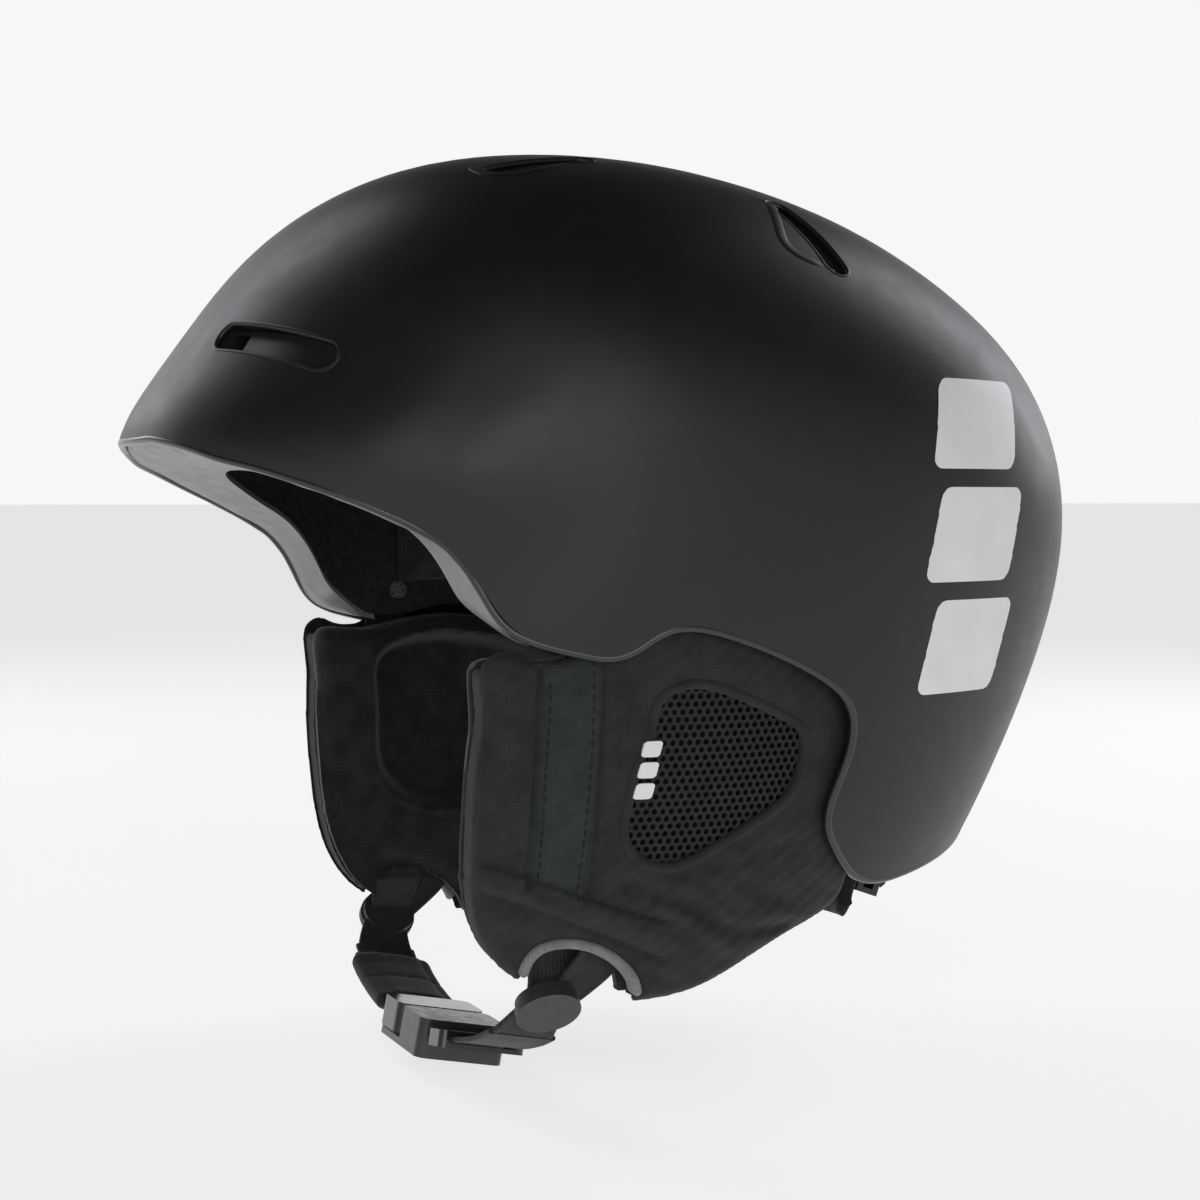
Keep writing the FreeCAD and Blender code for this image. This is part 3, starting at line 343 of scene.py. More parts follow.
def both(name, V, F, mat, body, slot, reps=(), pad=None, shell=False, **kw):
    """The same piece on the left and, mirrored, on the right."""
    out = []
    for side, flip in (("left", False), ("right", True)):
        b = body if shell else body + "_" + side
        o = make(name + "_" + side, V, F, mat, b, slot, flip=flip, **kw)
        if reps:
            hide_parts(*[r + "_" + side for r in reps])
        out.append(o)
    return out


# ------------------------------------------------------------------ materials
def material(name, c1, c2, rough, var=0.06, scale=40.0, spec=0.5, metal=0.0, sheen=0.0, coat=0.0, coat_rough=0.2,
             grain=None, weave=None, holes=None, detail=6.0, spread=(0.35, 0.65)):
    m = bpy.data.materials.new(name); m.use_nodes = True
    nt = m.node_tree; nd = nt.nodes; lk = nt.links; nd.clear()
    out = nd.new("ShaderNodeOutputMaterial"); bs = nd.new("ShaderNodeBsdfPrincipled")
    lk.new(bs.outputs[0], out.inputs[0])
    tc = nd.new("ShaderNodeTexCoord")
    n1 = nd.new("ShaderNodeTexNoise"); n1.inputs["Scale"].default_value = scale; n1.inputs["Detail"].default_value = detail
    lk.new(tc.outputs["Object"], n1.inputs["Vector"])
    cr = nd.new("ShaderNodeValToRGB")
    cr.color_ramp.elements[0].position = spread[0]; cr.color_ramp.elements[0].color = (*c1, 1)
    cr.color_ramp.elements[1].position = spread[1]; cr.color_ramp.elements[1].color = (*c2, 1)
    lk.new(n1.outputs["Fac"], cr.inputs[0])
    color = cr.outputs[0]
    mr = nd.new("ShaderNodeMapRange")
    mr.inputs["From Min"].default_value = 0.3; mr.inputs["From Max"].default_value = 0.7
    mr.inputs["To Min"].default_value = rough - var; mr.inputs["To Max"].default_value = rough + var
    n2 = nd.new("ShaderNodeTexNoise"); n2.inputs["Scale"].default_value = scale * 4.3; n2.inputs["Detail"].default_value = 4
    lk.new(tc.outputs["Object"], n2.inputs["Vector"]); lk.new(n2.outputs["Fac"], mr.inputs["Value"])
    lk.new(mr.outputs[0], bs.inputs["Roughness"])
    normal = None
    if grain:
        gs, gd, st = grain
        g = nd.new("ShaderNodeTexNoise"); g.inputs["Scale"].default_value = gs; g.inputs["Detail"].default_value = 3
        lk.new(tc.outputs["Object"], g.inputs["Vector"])
        b = nd.new("ShaderNodeBump"); b.inputs["Distance"].default_value = gd; b.inputs["Strength"].default_value = st
        lk.new(g.outputs["Fac"], b.inputs["Height"]); normal = b.outputs[0]
    if holes:
        hs, hd, st = holes
        g = nd.new("ShaderNodeTexVoronoi"); g.inputs["Scale"].default_value = hs
        lk.new(tc.outputs["Object"], g.inputs["Vector"])
        b = nd.new("ShaderNodeBump"); b.inputs["Distance"].default_value = hd; b.inputs["Strength"].default_value = st
        b.invert = True
        lk.new(g.outputs["Distance"], b.inputs["Height"])
        if normal:
            lk.new(normal, b.inputs["Normal"])
        normal = b.outputs[0]
    if weave:
        d1, d2, pitch, dist, st, dark = weave
        waves = []
        for d, off in ((d1, 0.0), (d2, 1.2)):
            w = nd.new("ShaderNodeTexWave"); w.wave_type = "BANDS"; w.bands_direction = d
            w.inputs["Scale"].default_value = 0.314 / pitch; w.inputs["Phase Offset"].default_value = off
            w.inputs["Distortion"].default_value = 0.4; w.inputs["Detail"].default_value = 1.0
            lk.new(tc.outputs["Object"], w.inputs["Vector"]); waves.append(w)
        mx = nd.new("ShaderNodeMath"); mx.operation = "MULTIPLY"
        lk.new(waves[0].outputs["Fac"], mx.inputs[0]); lk.new(waves[1].outputs["Fac"], mx.inputs[1])
        b = nd.new("ShaderNodeBump"); b.inputs["Distance"].default_value = dist; b.inputs["Strength"].default_value = st
        lk.new(mx.outputs[0], b.inputs["Height"])
        if normal:
            lk.new(normal, b.inputs["Normal"])
        normal = b.outputs[0]
        # Painted shade: where the weave height is low, between the threads, the base colour is multiplied darker; the
        # last weave value sets how much.
        mix = nd.new("ShaderNodeMix"); mix.data_type = "RGBA"; mix.blend_type = "MULTIPLY"; mix.inputs["Factor"].default_value = dark
        lk.new(color, mix.inputs[6])
        rp = nd.new("ShaderNodeValToRGB"); rp.color_ramp.elements[0].color = (0.35, 0.35, 0.35, 1); rp.color_ramp.elements[1].position = 0.5
        lk.new(mx.outputs[0], rp.inputs[0]); lk.new(rp.outputs[0], mix.inputs[7])
        color = mix.outputs[2]
    lk.new(color, bs.inputs["Base Color"])
    if normal:
        lk.new(normal, bs.inputs["Normal"])
    bs.inputs["Metallic"].default_value = metal; bs.inputs["Specular IOR Level"].default_value = spec
    if sheen:
        bs.inputs["Sheen Weight"].default_value = sheen; bs.inputs["Sheen Roughness"].default_value = 0.5
        bs.inputs["Sheen Tint"].default_value = (0.6, 0.61, 0.63, 1)
    if coat:
        bs.inputs["Coat Weight"].default_value = coat; bs.inputs["Coat Roughness"].default_value = coat_rough
    return m


def g(v):
    return (v, v * 1.01, v * 1.03)


M = {
    "shell_black": material("shell_satin_black", g(0.0085), g(0.0105), 0.42, 0.025, 30, 0.42, grain=(2600, 0.00003, 0.18)),
    "foam_dark": material("foam_beads", g(0.012), g(0.022), 0.75, 0.08, 300, 0.3, holes=(330, 0.0006, 0.45), grain=(1500, 0.0001, 0.2)),
    "band_grey": material("band_satin_grey", g(0.13), g(0.16), 0.40, 0.05, 50, 0.5, grain=(2200, 0.00005, 0.2)),
    "insert_black": material("insert_nylon", g(0.010), g(0.016), 0.50, 0.07, 80, 0.45, grain=(1800, 0.0001, 0.3)),
    "liner_fabric": material("liner_brushed_knit", g(0.012), g(0.024), 0.88, 0.06, 160, 0.2, sheen=0.25, grain=(900, 0.0003, 0.35), weave=("Y", "Z", 0.0013, 0.00012, 0.4, 0.35)),
    "ear_fabric": material("ear_woven", g(0.0165), g(0.026), 0.80, 0.06, 120, 0.25, sheen=0.12, grain=(700, 0.0003, 0.25), weave=("Y", "Z", 0.0009, 0.0001, 0.45, 0.35)),
    "mesh_black": material("mesh_knit", g(0.006), g(0.012), 0.62, 0.08, 300, 0.35, grain=(2500, 0.0001, 0.3), weave=("Y", "Z", 0.0006, 0.00005, 0.3, 0.2)),
    "binding_grey": material("binding_grosgrain", g(0.18), g(0.23), 0.72, 0.05, 200, 0.3, sheen=0.15, weave=("Y", "X", 0.0008, 0.00012, 0.5, 0.35)),
    "webbing": material("webbing_polyester", g(0.016), g(0.026), 0.66, 0.06, 200, 0.35, sheen=0.1, weave=("X", "Y", 0.0011, 0.00018, 0.6, 0.45)),
    "buckle_grey": material("buckle_satin", g(0.028), g(0.036), 0.24, 0.05, 90, 0.5, grain=(1500, 0.00005, 0.15)),
    "buckle_black": material("buckle_gloss", g(0.010), g(0.014), 0.16, 0.04, 60, 0.55, coat=0.3, coat_rough=0.08, grain=(900, 0.00003, 0.1)),
    "divider_grey": material("divider_moulded", g(0.026), g(0.034), 0.45, 0.05, 90, 0.45, grain=(2000, 0.00008, 0.3)),
    "rubber_black": material("rubber_matte", g(0.012), g(0.018), 0.68, 0.06, 90, 0.35, grain=(1600, 0.0001, 0.4)),
    "steel": material("steel_plated", (0.45, 0.45, 0.46), (0.56, 0.56, 0.57), 0.30, 0.06, 300, 0.5, metal=1.0, grain=(1200, 0.00005, 0.2)),
    "panel": material("ear_panel_knit", (0.022, 0.027, 0.026), (0.031, 0.037, 0.036), 0.82, 0.05, 150, 0.25, sheen=0.15, weave=("Z", "Y", 0.0007, 0.0001, 0.5, 0.35)),
    "graphic": material("graphic_ink", (0.70, 0.70, 0.71), (0.75, 0.75, 0.76), 0.42, 0.04, 80, 0.45, grain=(1500, 0.00003, 0.15)),
    # Painted highlight: the lip material has a lighter base colour than the shell, standing in for the bright line of
    # light along the edge; its lower roughness is real.
    "shell_edge_painted_highlight": material("shell_lip_painted_highlight", g(0.013), g(0.018), 0.24, 0.03, 60, 0.6, grain=(2600, 0.00003, 0.1)),
    "thread": material("seam_thread", g(0.010), g(0.016), 0.8, 0.05, 400, 0.25, grain=(2600, 0.0001, 0.5)),
}


def slot_of(n):
    table = (("outer_shell", "shell_black"), ("eps_liner", "foam_dark"), ("brow_band", "band_grey"), ("ear_cover", "ear_fabric"),
             ("ear_rim", "ear_fabric"), ("ear_liner", "liner_fabric"), ("ear_binding", "binding_grey"), ("ear_grille", "mesh_black"),
             ("ear_plate", "insert_black"), ("ear_socket", "insert_black"), ("strap_anchor", "steel"), ("strap_slider", "buckle_black"),
             ("strap_", "webbing"), ("chin_webbing", "webbing"), ("buckle_magnet", "steel"), ("buckle_tongue", "buckle_black"),
             ("buckle_base", "buckle_grey"), ("divider_", "divider_grey"), ("goggle_clip_lever", "rubber_black"),
             ("goggle_clip_base", "insert_black"), ("goggle_clip", "steel"), ("cradle_pin", "steel"), ("dial_knob", "rubber_black"),
             ("dial_housing", "divider_grey"), ("cradle_", "divider_grey"), ("fit_wing", "insert_black"), ("dial_pinion", "insert_black"),
             ("_pad", "liner_fabric"), ("vent", "insert_black"))
    for k, s in table:
        if k in n:
            return s
    return "insert_black"


for n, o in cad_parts.items():
    o.data.materials.clear(); o.data.materials.append(M[slot_of(n)])
    for p in o.data.polygons:
        p.material_index = 0
for n, bw in (("buckle_base", 0.0013), ("buckle_tongue", 0.0013), ("strap_slider", 0.0007), ("divider_disc_left", 0.0007), ("divider_disc_right", 0.0007)):
    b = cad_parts[n].modifiers.new("edge", "BEVEL"); b.width = bw; b.segments = 3; b.limit_method = "ANGLE"; b.angle_limit = math.radians(40)

# ------------------------------------------------------------------ shell: rolled lip, vent rims, plain graphic
e = np.array(EDGE); ez = lambda y: np.interp(y, e[:, 0], e[:, 1])
half = []
for y in -139.9 + 93.8 * (np.linspace(0, 1, 240) ** 1.8):
    z = ez(y); x = float(x_shell(np.array(y), np.array(z)))
    if x > 0:
        half.append((x, y, z))
low = resample(relax(resample(np.array(EAR_EDGE + REAR_EDGE[1:]), 1.0), 6), 1.0)
for y, z in low[1:]:
    x = float(x_shell(np.array(y), np.array(z)))
    if x > 1.0:
        half.append((x, y, z))
half = np.array(half)
loop = np.vstack([half, half[::-1] * np.array([-1.0, 1, 1])])
loop = relax(resample(loop, 1.6, True), 3, True)
gr = grad(loop)
V, F = sweep(loop - gr * 1.1, gr, ring(1.25, 1.3, 10), closed=True)
# The rolled lip uses the lighter lip material, a painted highlight along the shell's edge.
lip = make("shell_lip", V, F, M["shell_edge_painted_highlight"], "shell", "shell_black", angle=80)

for k, (c, d, n, ln, w) in VENTS.items():
    c, d, n = np.array(c, float), np.array(d, float), np.array(n, float)
    d /= np.linalg.norm(d); n = n - d * n.dot(d); n /= np.linalg.norm(n); ww = np.cross(n, d)
    r, h = w / 2 + 0.2, (ln - w) / 2
    pts = [c + d * (h + r * math.sin(t)) + ww * r * math.cos(t) for t in np.linspace(0, math.pi, 17)]
    pts += [c + d * (-h - r * math.sin(t)) - ww * r * math.cos(t) for t in np.linspace(0, math.pi, 17)]
    p = resample(np.array(pts), 1.0, True)
    p = onto(p, np.broadcast_to(n, p.shape)); gg = grad(p)
    V, F = sweep(p - gg * 0.75, gg, ring(0.85, 0.95, 10), closed=True)
    both("vent_rim_" + k, V, F, M["shell_black"], "shell", "shell_black", shell=True, angle=80)


# shallow floor of the front vents, which drops towards the open inner end
c, d, n, ln, w = VENTS["front"]
c, d, n = np.array(c, float), np.array(d, float), np.array(n, float)
d /= np.linalg.norm(d); n = n - d * n.dot(d); n /= np.linalg.norm(n); ww = np.cross(n, d)


def in_slot(A, B):
    return np.minimum(w / 2 - 0.15 - np.hypot(np.maximum(np.abs(A) - (ln - w) / 2, 0), B), A + 14.0)


v2, fc = clip_grid(in_slot, -16, 26, -5, 5, 0.7)
p = onto(c + v2[:, :1] * d + v2[:, 1:] * ww, np.broadcast_to(n, (len(v2), 3)).copy()); gg = grad(p)
dep = 1.7 + 1.6 * smooth(-v2[:, 0], -16.0, 14.0)
top_ = p - gg * dep[:, None]; bot_ = top_ - gg * 1.0
_, F = slab_mesh(v2, fc, lambda a, b: a, lambda a, b: a)
both("front_vent_floor", np.vstack([top_, bot_]), F, M["shell_black"], "shell", "shell_black", shell=True, angle=50)

# soft creases where the shell dips in front of a vent
for nm, pts, nn in (("rear", [(58.0, 31.5, 78.5), (66.0, 28.4, 75.2), (76.2, 25.2, 69.5), (83.0, 23.2, 64.5), (86.4, 24.6, 61.4), (87.2, 30.0, 59.7), (87.4, 37.2, 56.6)], (0.62, 0.28, 0.73)),
                    ("top", [(38.0, -52.0, 86.8), (46.0, -52.5, 85.0), (53.0, -51.0, 82.4), (56.2, -44.1, 82.0), (54.0, -34.0, 84.4), (48.0, -22.0, 87.8)], (0.36, -0.16, 0.92))):
    n = np.array(nn, float); n /= np.linalg.norm(n)
    p = resample(relax(resample(np.array(pts, float), 1.0), 12), 1.0)
    p = onto(p, np.broadcast_to(n, p.shape)); gg = grad(p)
    tt = np.minimum(np.arange(len(p)), np.arange(len(p))[::-1]) / 8.0
    sc = np.stack([0.25 + 0.75 * smooth(tt, 0, 1), 0.05 + 0.95 * smooth(tt, 0, 1)], 1)
    V, F = sweep(p - gg * 0.25, gg, ring(1.9, 0.48, 14), scale=sc)
    both("vent_crease_" + nm, V, F, M["shell_black"], "shell", "shell_black", shell=True, angle=80)


def decal(pts, lift, thick, h, xf):
    poly = closed_curve(resample(np.array(pts, float), 1.2, True), 160) if len(pts) < 30 else np.array(pts)
    lo, hi = poly.min(0) - 1, poly.max(0) + 1
    v2, fc = clip_grid(lambda Y, Z: sdf(poly, Y, Z), lo[0], hi[0], lo[1], hi[1], h)
    return slab_mesh(v2, fc, lambda y, z: xf(y, z) + lift, lambda y, z: xf(y, z) + lift - thick)


def rounded(cy, cz, w, hgt, slant, r=3.0):
    out = []
    for sy, sz, a0 in ((1, 1, 0), (-1, 1, 90), (-1, -1, 180), (1, -1, 270)):
        for t in range(0, 91, 15):
            a = math.radians(a0 + t)
            y, z = sy * (w / 2 - r) + r * math.cos(a), sz * (hgt / 2 - r) + r * math.sin(a)
            out.append((cy + y + slant * z, cz + z))
    return out


for i, (cy, cz, w, hh) in enumerate(((78.0, 15.0, 34.0, 25.0), (76.0, -15.5, 34.0, 26.0), (75.0, -46.5, 32.0, 26.0))):
    V, F = decal(resample(np.array(rounded(cy, cz, w, hh, 0.22)), 1.0, True), 0.12, 0.6, 1.5, x_shell)
    both("side_bar_%d" % (i + 1), V, F, M["graphic"], "shell", "shell_black", shell=True, angle=50)
for i, cz in enumerate((-70.6, -76.2, -81.8)):
    V, F = decal(resample(np.array(rounded(-24.0 + 0.12 * (cz + 76.2), cz, 5.0, 4.2, 0.22, 0.9)), 0.4, True), 1.15, 1.6, 0.4, x_pad)
    both("ear_tab_bar_%d" % (i + 1), V, F, M["graphic"], "ear_pad", "ear_fabric", angle=50)

# ------------------------------------------------------------------ ear pads
C_COVER, C_LINER, C_WIN, C_REC = [closed_curve(p) for p in (O_COVER, O_LINER, O_WINDOW, O_RECESS)]
notch_c = np.array(NOTCH)
SEAM1 = [(-52.0, -44.0), (-52.6, -75.0), (-52.2, -106.0)]
SEAM2 = [(-36.8, -44.0), (-36.6, -75.0), (-37.2, -112.5)]
FLAP_A = [(-68.0, -99.5), (-60.0, -102.2), (-44.3, -107.6), (-26.0, -115.0), (-10.0, -120.0)]
FLAP_B = [(-68.0, -106.8), (-60.0, -109.4), (-45.0, -115.0), (-31.0, -121.0), (-14.0, -128.5)]
FOLD = [(-18.8, -110.6), (-8.4, -114.2), (1.5, -120.5), (9.5, -123.0), (24.0, -123.5)]
FOLD2 = [(-30.0, -108.0), (-14.0, -105.5), (4.0, -103.0), (20.0, -98.0), (34.0, -96.0)]


def swing(Y, Z):
    return np.hypot(Y + 42.0, Z + 142.0) - 11.2


def notch_out(Y, Z, grow):
    return -sdf(notch_c, Y, Z) - grow


def cover_in(Y, Z):
    return np.minimum(np.minimum(sdf(C_COVER, Y, Z), -sdf(C_WIN, Y, Z)), np.minimum(notch_out(Y, Z, 0.9), swing(Y, Z)))


def roll(d, r):
    d = np.clip(d, 0, r)
    return r - np.sqrt(np.maximum(0, r * r - (r - d) ** 2))


def cover_x(Y, Z):
    dc = np.minimum(sdf(C_COVER, Y, Z), np.minimum(notch_out(Y, Z, 0.9), swing(Y, Z)))
    dw = -sdf(C_WIN, Y, Z)
    x = x_pad(Y, Z) - roll(dc, 3.2) - 0.5 * roll(dw, 2.0)
    puff = 1.1 * smooth(dc, 1, 12) * smooth(dw, 0, 8)
    d1, s1 = line_dist(SEAM1, Y, Z); d2, s2 = line_dist(SEAM2, Y, Z)
    fa, sa = line_dist(FLAP_A, Y, Z); fb, sb = line_dist(FLAP_B, Y, Z)
    groove = 2.0 * np.exp(-(d1 / 0.9) ** 2) + 1.4 * np.exp(-(d2 / 0.9) ** 2) - 0.7 * np.exp(-((d1 * s1 - 2.6) / 1.8) ** 2) + 0.35 * (np.exp(-(d1 / 3.0) ** 2) + np.exp(-(d2 / 3.0) ** 2))
    in_a = smooth(sa * fa, -0.5, 0.5); in_b = smooth(-sb * fb, -0.5, 0.5)
    band = 1.5 * in_a * in_b
    band = band * smooth(-Y, 8.0, 16.0)
    gf = 0.5 * np.exp(-((fa + 0.2) / 0.8) ** 2) + 1.0 * np.exp(-((fb - 0.4) / 0.9) ** 2)
    gf = gf * smooth(-Y, 10.0, 16.0)
    f1, _ = line_dist(FOLD, Y, Z); f2, _ = line_dist(FOLD2, Y, Z)
    fold = 0.9 * np.exp(-(f1 / 1.6) ** 2) - 0.7 * np.exp(-((f1 - 4.0) / 2.4) ** 2) + 0.5 * np.exp(-(f2 / 1.8) ** 2)
    low = smooth(-Z, 98.0, 116.0)
    wr = 0.35 * np.sin(Y * 0.42 + Z * 0.75 + 1.3 * np.sin(Y * 0.16)) * low + 0.12 * np.sin(Y * 0.9 - Z * 1.15)
    wr += 0.25 * np.sin((Z + 0.35 * Y) * 0.5 + 1.7 * np.sin(Y * 0.11)) * smooth(-Z, 60, 90) * smooth(Y, -34, -20)
    return x + puff - groove * smooth(dc, 0, 2.0) + band * smooth(dc, 0.5, 3.0) - gf * smooth(dc, 0.5, 3.0) - fold * smooth(dc, 1, 5) + wr * smooth(dc, 1, 6) * smooth(dw, 0, 5)


def in_panel(c):
    y, z = abs(c.y) * -1 if c.y < 0 else c.y, c.z
    if not (-52.3 < y < -36.9) or abs(c.x) < 70:
        return 0
    lim = np.interp(y, [-60.0, -44.3, -26.0], [-102.2, -107.6, -115.0])
    return 1 if z > lim and abs(c.x) > float(x_pad(np.array(y), np.array(z))) - 2.2 else 0


v2, fc = clip_grid(cover_in, -68, 48, -144, -31, 0.9)
V, F = slab_mesh(v2, fc, cover_x, lambda y, z: x_pad(y, z) - 3.5)
both("ear_cover_soft", V, F, [M["ear_fabric"], M["panel"]], "ear_pad", "ear_fabric", reps=("ear_cover",), pad=0.5, angle=70, index=in_panel)

rim_in = lambda Y, Z: np.minimum(np.minimum(sdf(C_COVER, Y, Z) - 0.7, 6.2 - sdf(C_COVER, Y, Z)),
                                 np.minimum(np.minimum(-50.0 - Z, 36.0 - Y), np.minimum(notch_out(Y, Z, 2.7), swing(Y, Z))))
v2, fc = clip_grid(rim_in, -68, 48, -144, -44, 1.2)
V, F = slab_mesh(v2, fc, lambda y, z: x_pad(y, z) - 3.6, lambda y, z: x_pad(y, z) - 11.4)
both("ear_rim_soft", V, F, M["ear_fabric"], "ear_pad", "ear_fabric", reps=("ear_rim",), pad=0.7, angle=60)


def liner_in(Y, Z):
    return np.minimum(sdf(C_LINER, Y, Z), np.minimum(notch_out(Y, Z, 0.3), swing(Y, Z)))


def liner_x(Y, Z):
    d = liner_in(Y, Z); rc = sdf(C_REC, Y, Z)
    x = x_face(Y, Z) + roll(d, 6.5) * 0.95
    deep = x_pad(Y, Z) - 15.0
    k = smooth(rc, -2.5, 3.5)
    x = x * (1 - k) + deep * k
    x += 0.9 * np.exp(-((rc + 4.2) / 0.9) ** 2) + 0.35 * np.sin(Y * 0.3 + Z * 0.21) * smooth(d, 2, 8)
    return np.minimum(x, deep + 0.0)


v2, fc = clip_grid(liner_in, -68, 48, -144, -42, 1.1)
V, F = slab_mesh(v2, fc, lambda y, z: x_pad(y, z) - 12.35, liner_x)
both("ear_liner_soft", V, F, M["liner_fabric"], "ear_pad", "liner_fabric", reps=("ear_liner",), pad=0.7, angle=70)

# binding tape round the notch
nb = [(-49.9, -132.2), (-49.8, -130.6), (-49.2, -128.2), (-47.3, -125.2), (-43.5, -123.6), (-38.0, -123.5), (-32.5, -125.0),
      (-27.5, -127.6), (-22.8, -131.4), (-19.6, -135.4), (-18.2, -139.2)]
nb = resample(relax(resample(np.array(nb), 1.0), 5), 0.8)
path = np.stack([x_pad(nb[:, 0], nb[:, 1]) - 1.6, nb[:, 0], nb[:, 1]], 1)
sc = np.ones((len(path), 2)); sc[0] = sc[-1] = (0.6, 0.8)
V, F = sweep(path, (1, 0, 0), ring(1.55, 2.6, 14, 2.8), scale=sc)
both("ear_binding_tape", V, F, M["binding_grey"], "ear_pad", "binding_grey", reps=("ear_binding",), angle=60)

# window: soft border and knitted mesh with round holes
wp = closed_curve(O_WINDOW, 200); cen = wp.mean(0)
wo = wp + 0.9 * (wp - cen) / np.linalg.norm(wp - cen, axis=1)[:, None]
path = np.stack([x_pad(wo[:, 0], wo[:, 1]) - 0.5, wo[:, 0], wo[:, 1]], 1)
V, F = sweep(path, (1, 0, 0), ring(1.5, 1.25, 12), closed=True)
both("ear_window_border", V, F, M["ear_fabric"], "ear_pad", "ear_fabric", angle=80)
PITCH = 2.35; V, F = [], []
nrow = int(52 / (PITCH * 0.866)) + 2
for rI in range(nrow):
    for cI in range(int(52 / PITCH) + 3):
        cy = -30 + cI * PITCH + (PITCH / 2 if rI % 2 else 0); cz = -104 + rI * PITCH * 0.866
        if float(sdf(C_WIN, np.array([cy]), np.array([cz]))[0]) < -0.9:
            continue
        base = len(V); rh = PITCH / math.sqrt(3)
        for kk in range(12):
            a = math.radians(30 * kk + 30)
            rad = rh if kk % 2 == 0 else rh * 0.866
            y, z = cy + rad * math.cos(a), cz + rad * math.sin(a)
            V.append((float(x_pad(np.array(y), np.array(z))) - 1.0, y, z))
        for rr, dx in ((0.80, -0.75), (0.66, -1.15), (0.60, -1.9)):
            for kk in range(12):
                a = math.radians(30 * kk + 30); y, z = cy + rr * math.cos(a), cz + rr * math.sin(a)
                V.append((float(x_pad(np.array(y), np.array(z))) + dx, y, z))
        for lv in range(3):
            for kk in range(12):
                l = (kk + 1) % 12
                F.append([base + lv * 12 + kk, base + lv * 12 + l, base + (lv + 1) * 12 + l, base + (lv + 1) * 12 + kk])
top = len(V)
both("ear_mesh_knit", V, F, M["mesh_black"], "ear_pad", "mesh_black", reps=("ear_grille",), angle=70)
v2, fc = clip_grid(lambda Y, Z: sdf(C_WIN, Y, Z) + 1.0, -32, 26, -106, -51, 1.8)
V, F = slab_mesh(v2, fc, lambda y, z: x_pad(y, z) - 2.6, lambda y, z: x_pad(y, z) - 3.4)
both("ear_mesh_backing", V, F, M["mesh_black"], "ear_pad", "mesh_black", angle=60)


# stitches beside the seams
def stitches(name, line, off, step=3.0, ln=2.0):
    p = resample(np.array(line, float), step); VV, FF = [], []
    for a, b in zip(p[:-1], p[1:]):
        t = (b - a) / np.linalg.norm(b - a); nrm = np.array([-t[1], t[0]])
        q = np.stack([a + nrm * off + t * s for s in (0.0, ln * 0.5, ln)])
        d = np.minimum(sdf(C_COVER, q[:, 0], q[:, 1]), np.minimum(notch_out(q[:, 0], q[:, 1], 0.9), -sdf(C_WIN, q[:, 0], q[:, 1])))
        if d.min() < 2.5:
            continue
        x = cover_x(q[:, 0], q[:, 1]) + np.array([-0.15, 0.12, -0.15])
        v, f = sweep(np.stack([x, q[:, 0], q[:, 1]], 1), (1, 0, 0), ring(0.28, 0.25, 6))
        base = len(VV); VV += list(v); FF += [[i + base for i in k] for k in f]
    both(name, VV, FF, M["thread"], "ear_pad", "ear_fabric", angle=80)


stitches("stitch_front", SEAM1, 2.3); stitches("stitch_rear", SEAM2, -2.3)

# ------------------------------------------------------------------ webbing
TAU = math.radians(11.0)


def sp(x, s, z):
    zz = z + 158.0
    return (x, s * math.cos(TAU) + zz * math.sin(TAU) - 47.0, -s * math.sin(TAU) + zz * math.cos(TAU) - 158.0)


def ribbon(pts, wdir, w0, w1, t=0.8, step=1.6):
    """Webbing along pts with its width along wdir."""
    p = resample(relax(resample(np.array(pts, float), 1.0), 8), step); n = len(p)
    T = np.gradient(p, axis=0); T /= np.linalg.norm(T, axis=1)[:, None]
    W = np.broadcast_to(np.array(wdir, float), p.shape) if np.ndim(wdir) == 1 else np.stack([np.interp(np.linspace(0, 1, n), np.linspace(0, 1, len(wdir)), np.array(wdir)[:, i]) for i in range(3)], 1)
    O = np.cross(T, W)
    w = np.linspace(w0, w1, n) / 20.0
    sc = np.stack([w, np.ones(n)], 1)
    return sweep(p, O, tape(10.0, t), scale=sc)


W_ = (0, math.cos(TAU), -math.sin(TAU))
for nm, leg, w0, w1 in (("front", [(-36.6, -31.0), (-37.5, -70.0), (-38.6, -105.0), (-38.9, -130.5)], 14, 15.3),
                        ("rear", [(31.5, -50.5), (5.0, -80.0), (-12.0, -106.0), (-25.3, -130.5)], 15, 11)):
    q = resample(np.array(leg), 3.0); pts = np.stack([x_pad(q[:, 0], q[:, 1]) - 9.05, q[:, 0], q[:, 1]], 1)
    d = pts[-1] - pts[0]; wd = np.cross(d / np.linalg.norm(d), (1, 0, 0)); wd /= np.linalg.norm(wd)
    V, F = ribbon(pts, tuple(wd), w0, w1)
    for side, flip in (("left", False), ("right", True)):
        o = make("webbing_%s_leg_%s" % (nm, side), V, F, M["webbing"], "shell", "webbing", flip=flip, angle=50)
        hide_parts("strap_%s_leg_%s" % (nm, side))
xa = lambda y, z: float(x_pad(np.array(y), np.array(z))) - 9.05
A1 = [(xa(-38.9, -126.0), -38.9, -126.0), (xa(-38.9, -130.0), -39.1, -130.0), (73.6, -40.2, -135.5), (73.4, -41.6, -141.0)]
A2 = [(xa(-26.0, -126.5) + 1.2, -26.0, -126.0), (xa(-25.6, -129.8) + 1.4, -27.4, -129.8), (74.6, -33.2, -135.5), (73.8, -38.5, -140.5)]
V1, F1 = ribbon(A1, (0, 1, -0.06), 17.0, 13.0)
V2, F2 = ribbon(A2, ((0, 0.95, 0.3), (0, 0.85, 0.52)), 15.0, 10.5)
A3 = [(72.6, -42.6, -142.9), (70.0, -43.9, -145.8), (67.2, -45.0, -148.8), sp(64.3, 0, -151.4), sp(61.0, 0, -152.9)]
V3, F3 = ribbon(A3, W_, 13.5, 19.6)
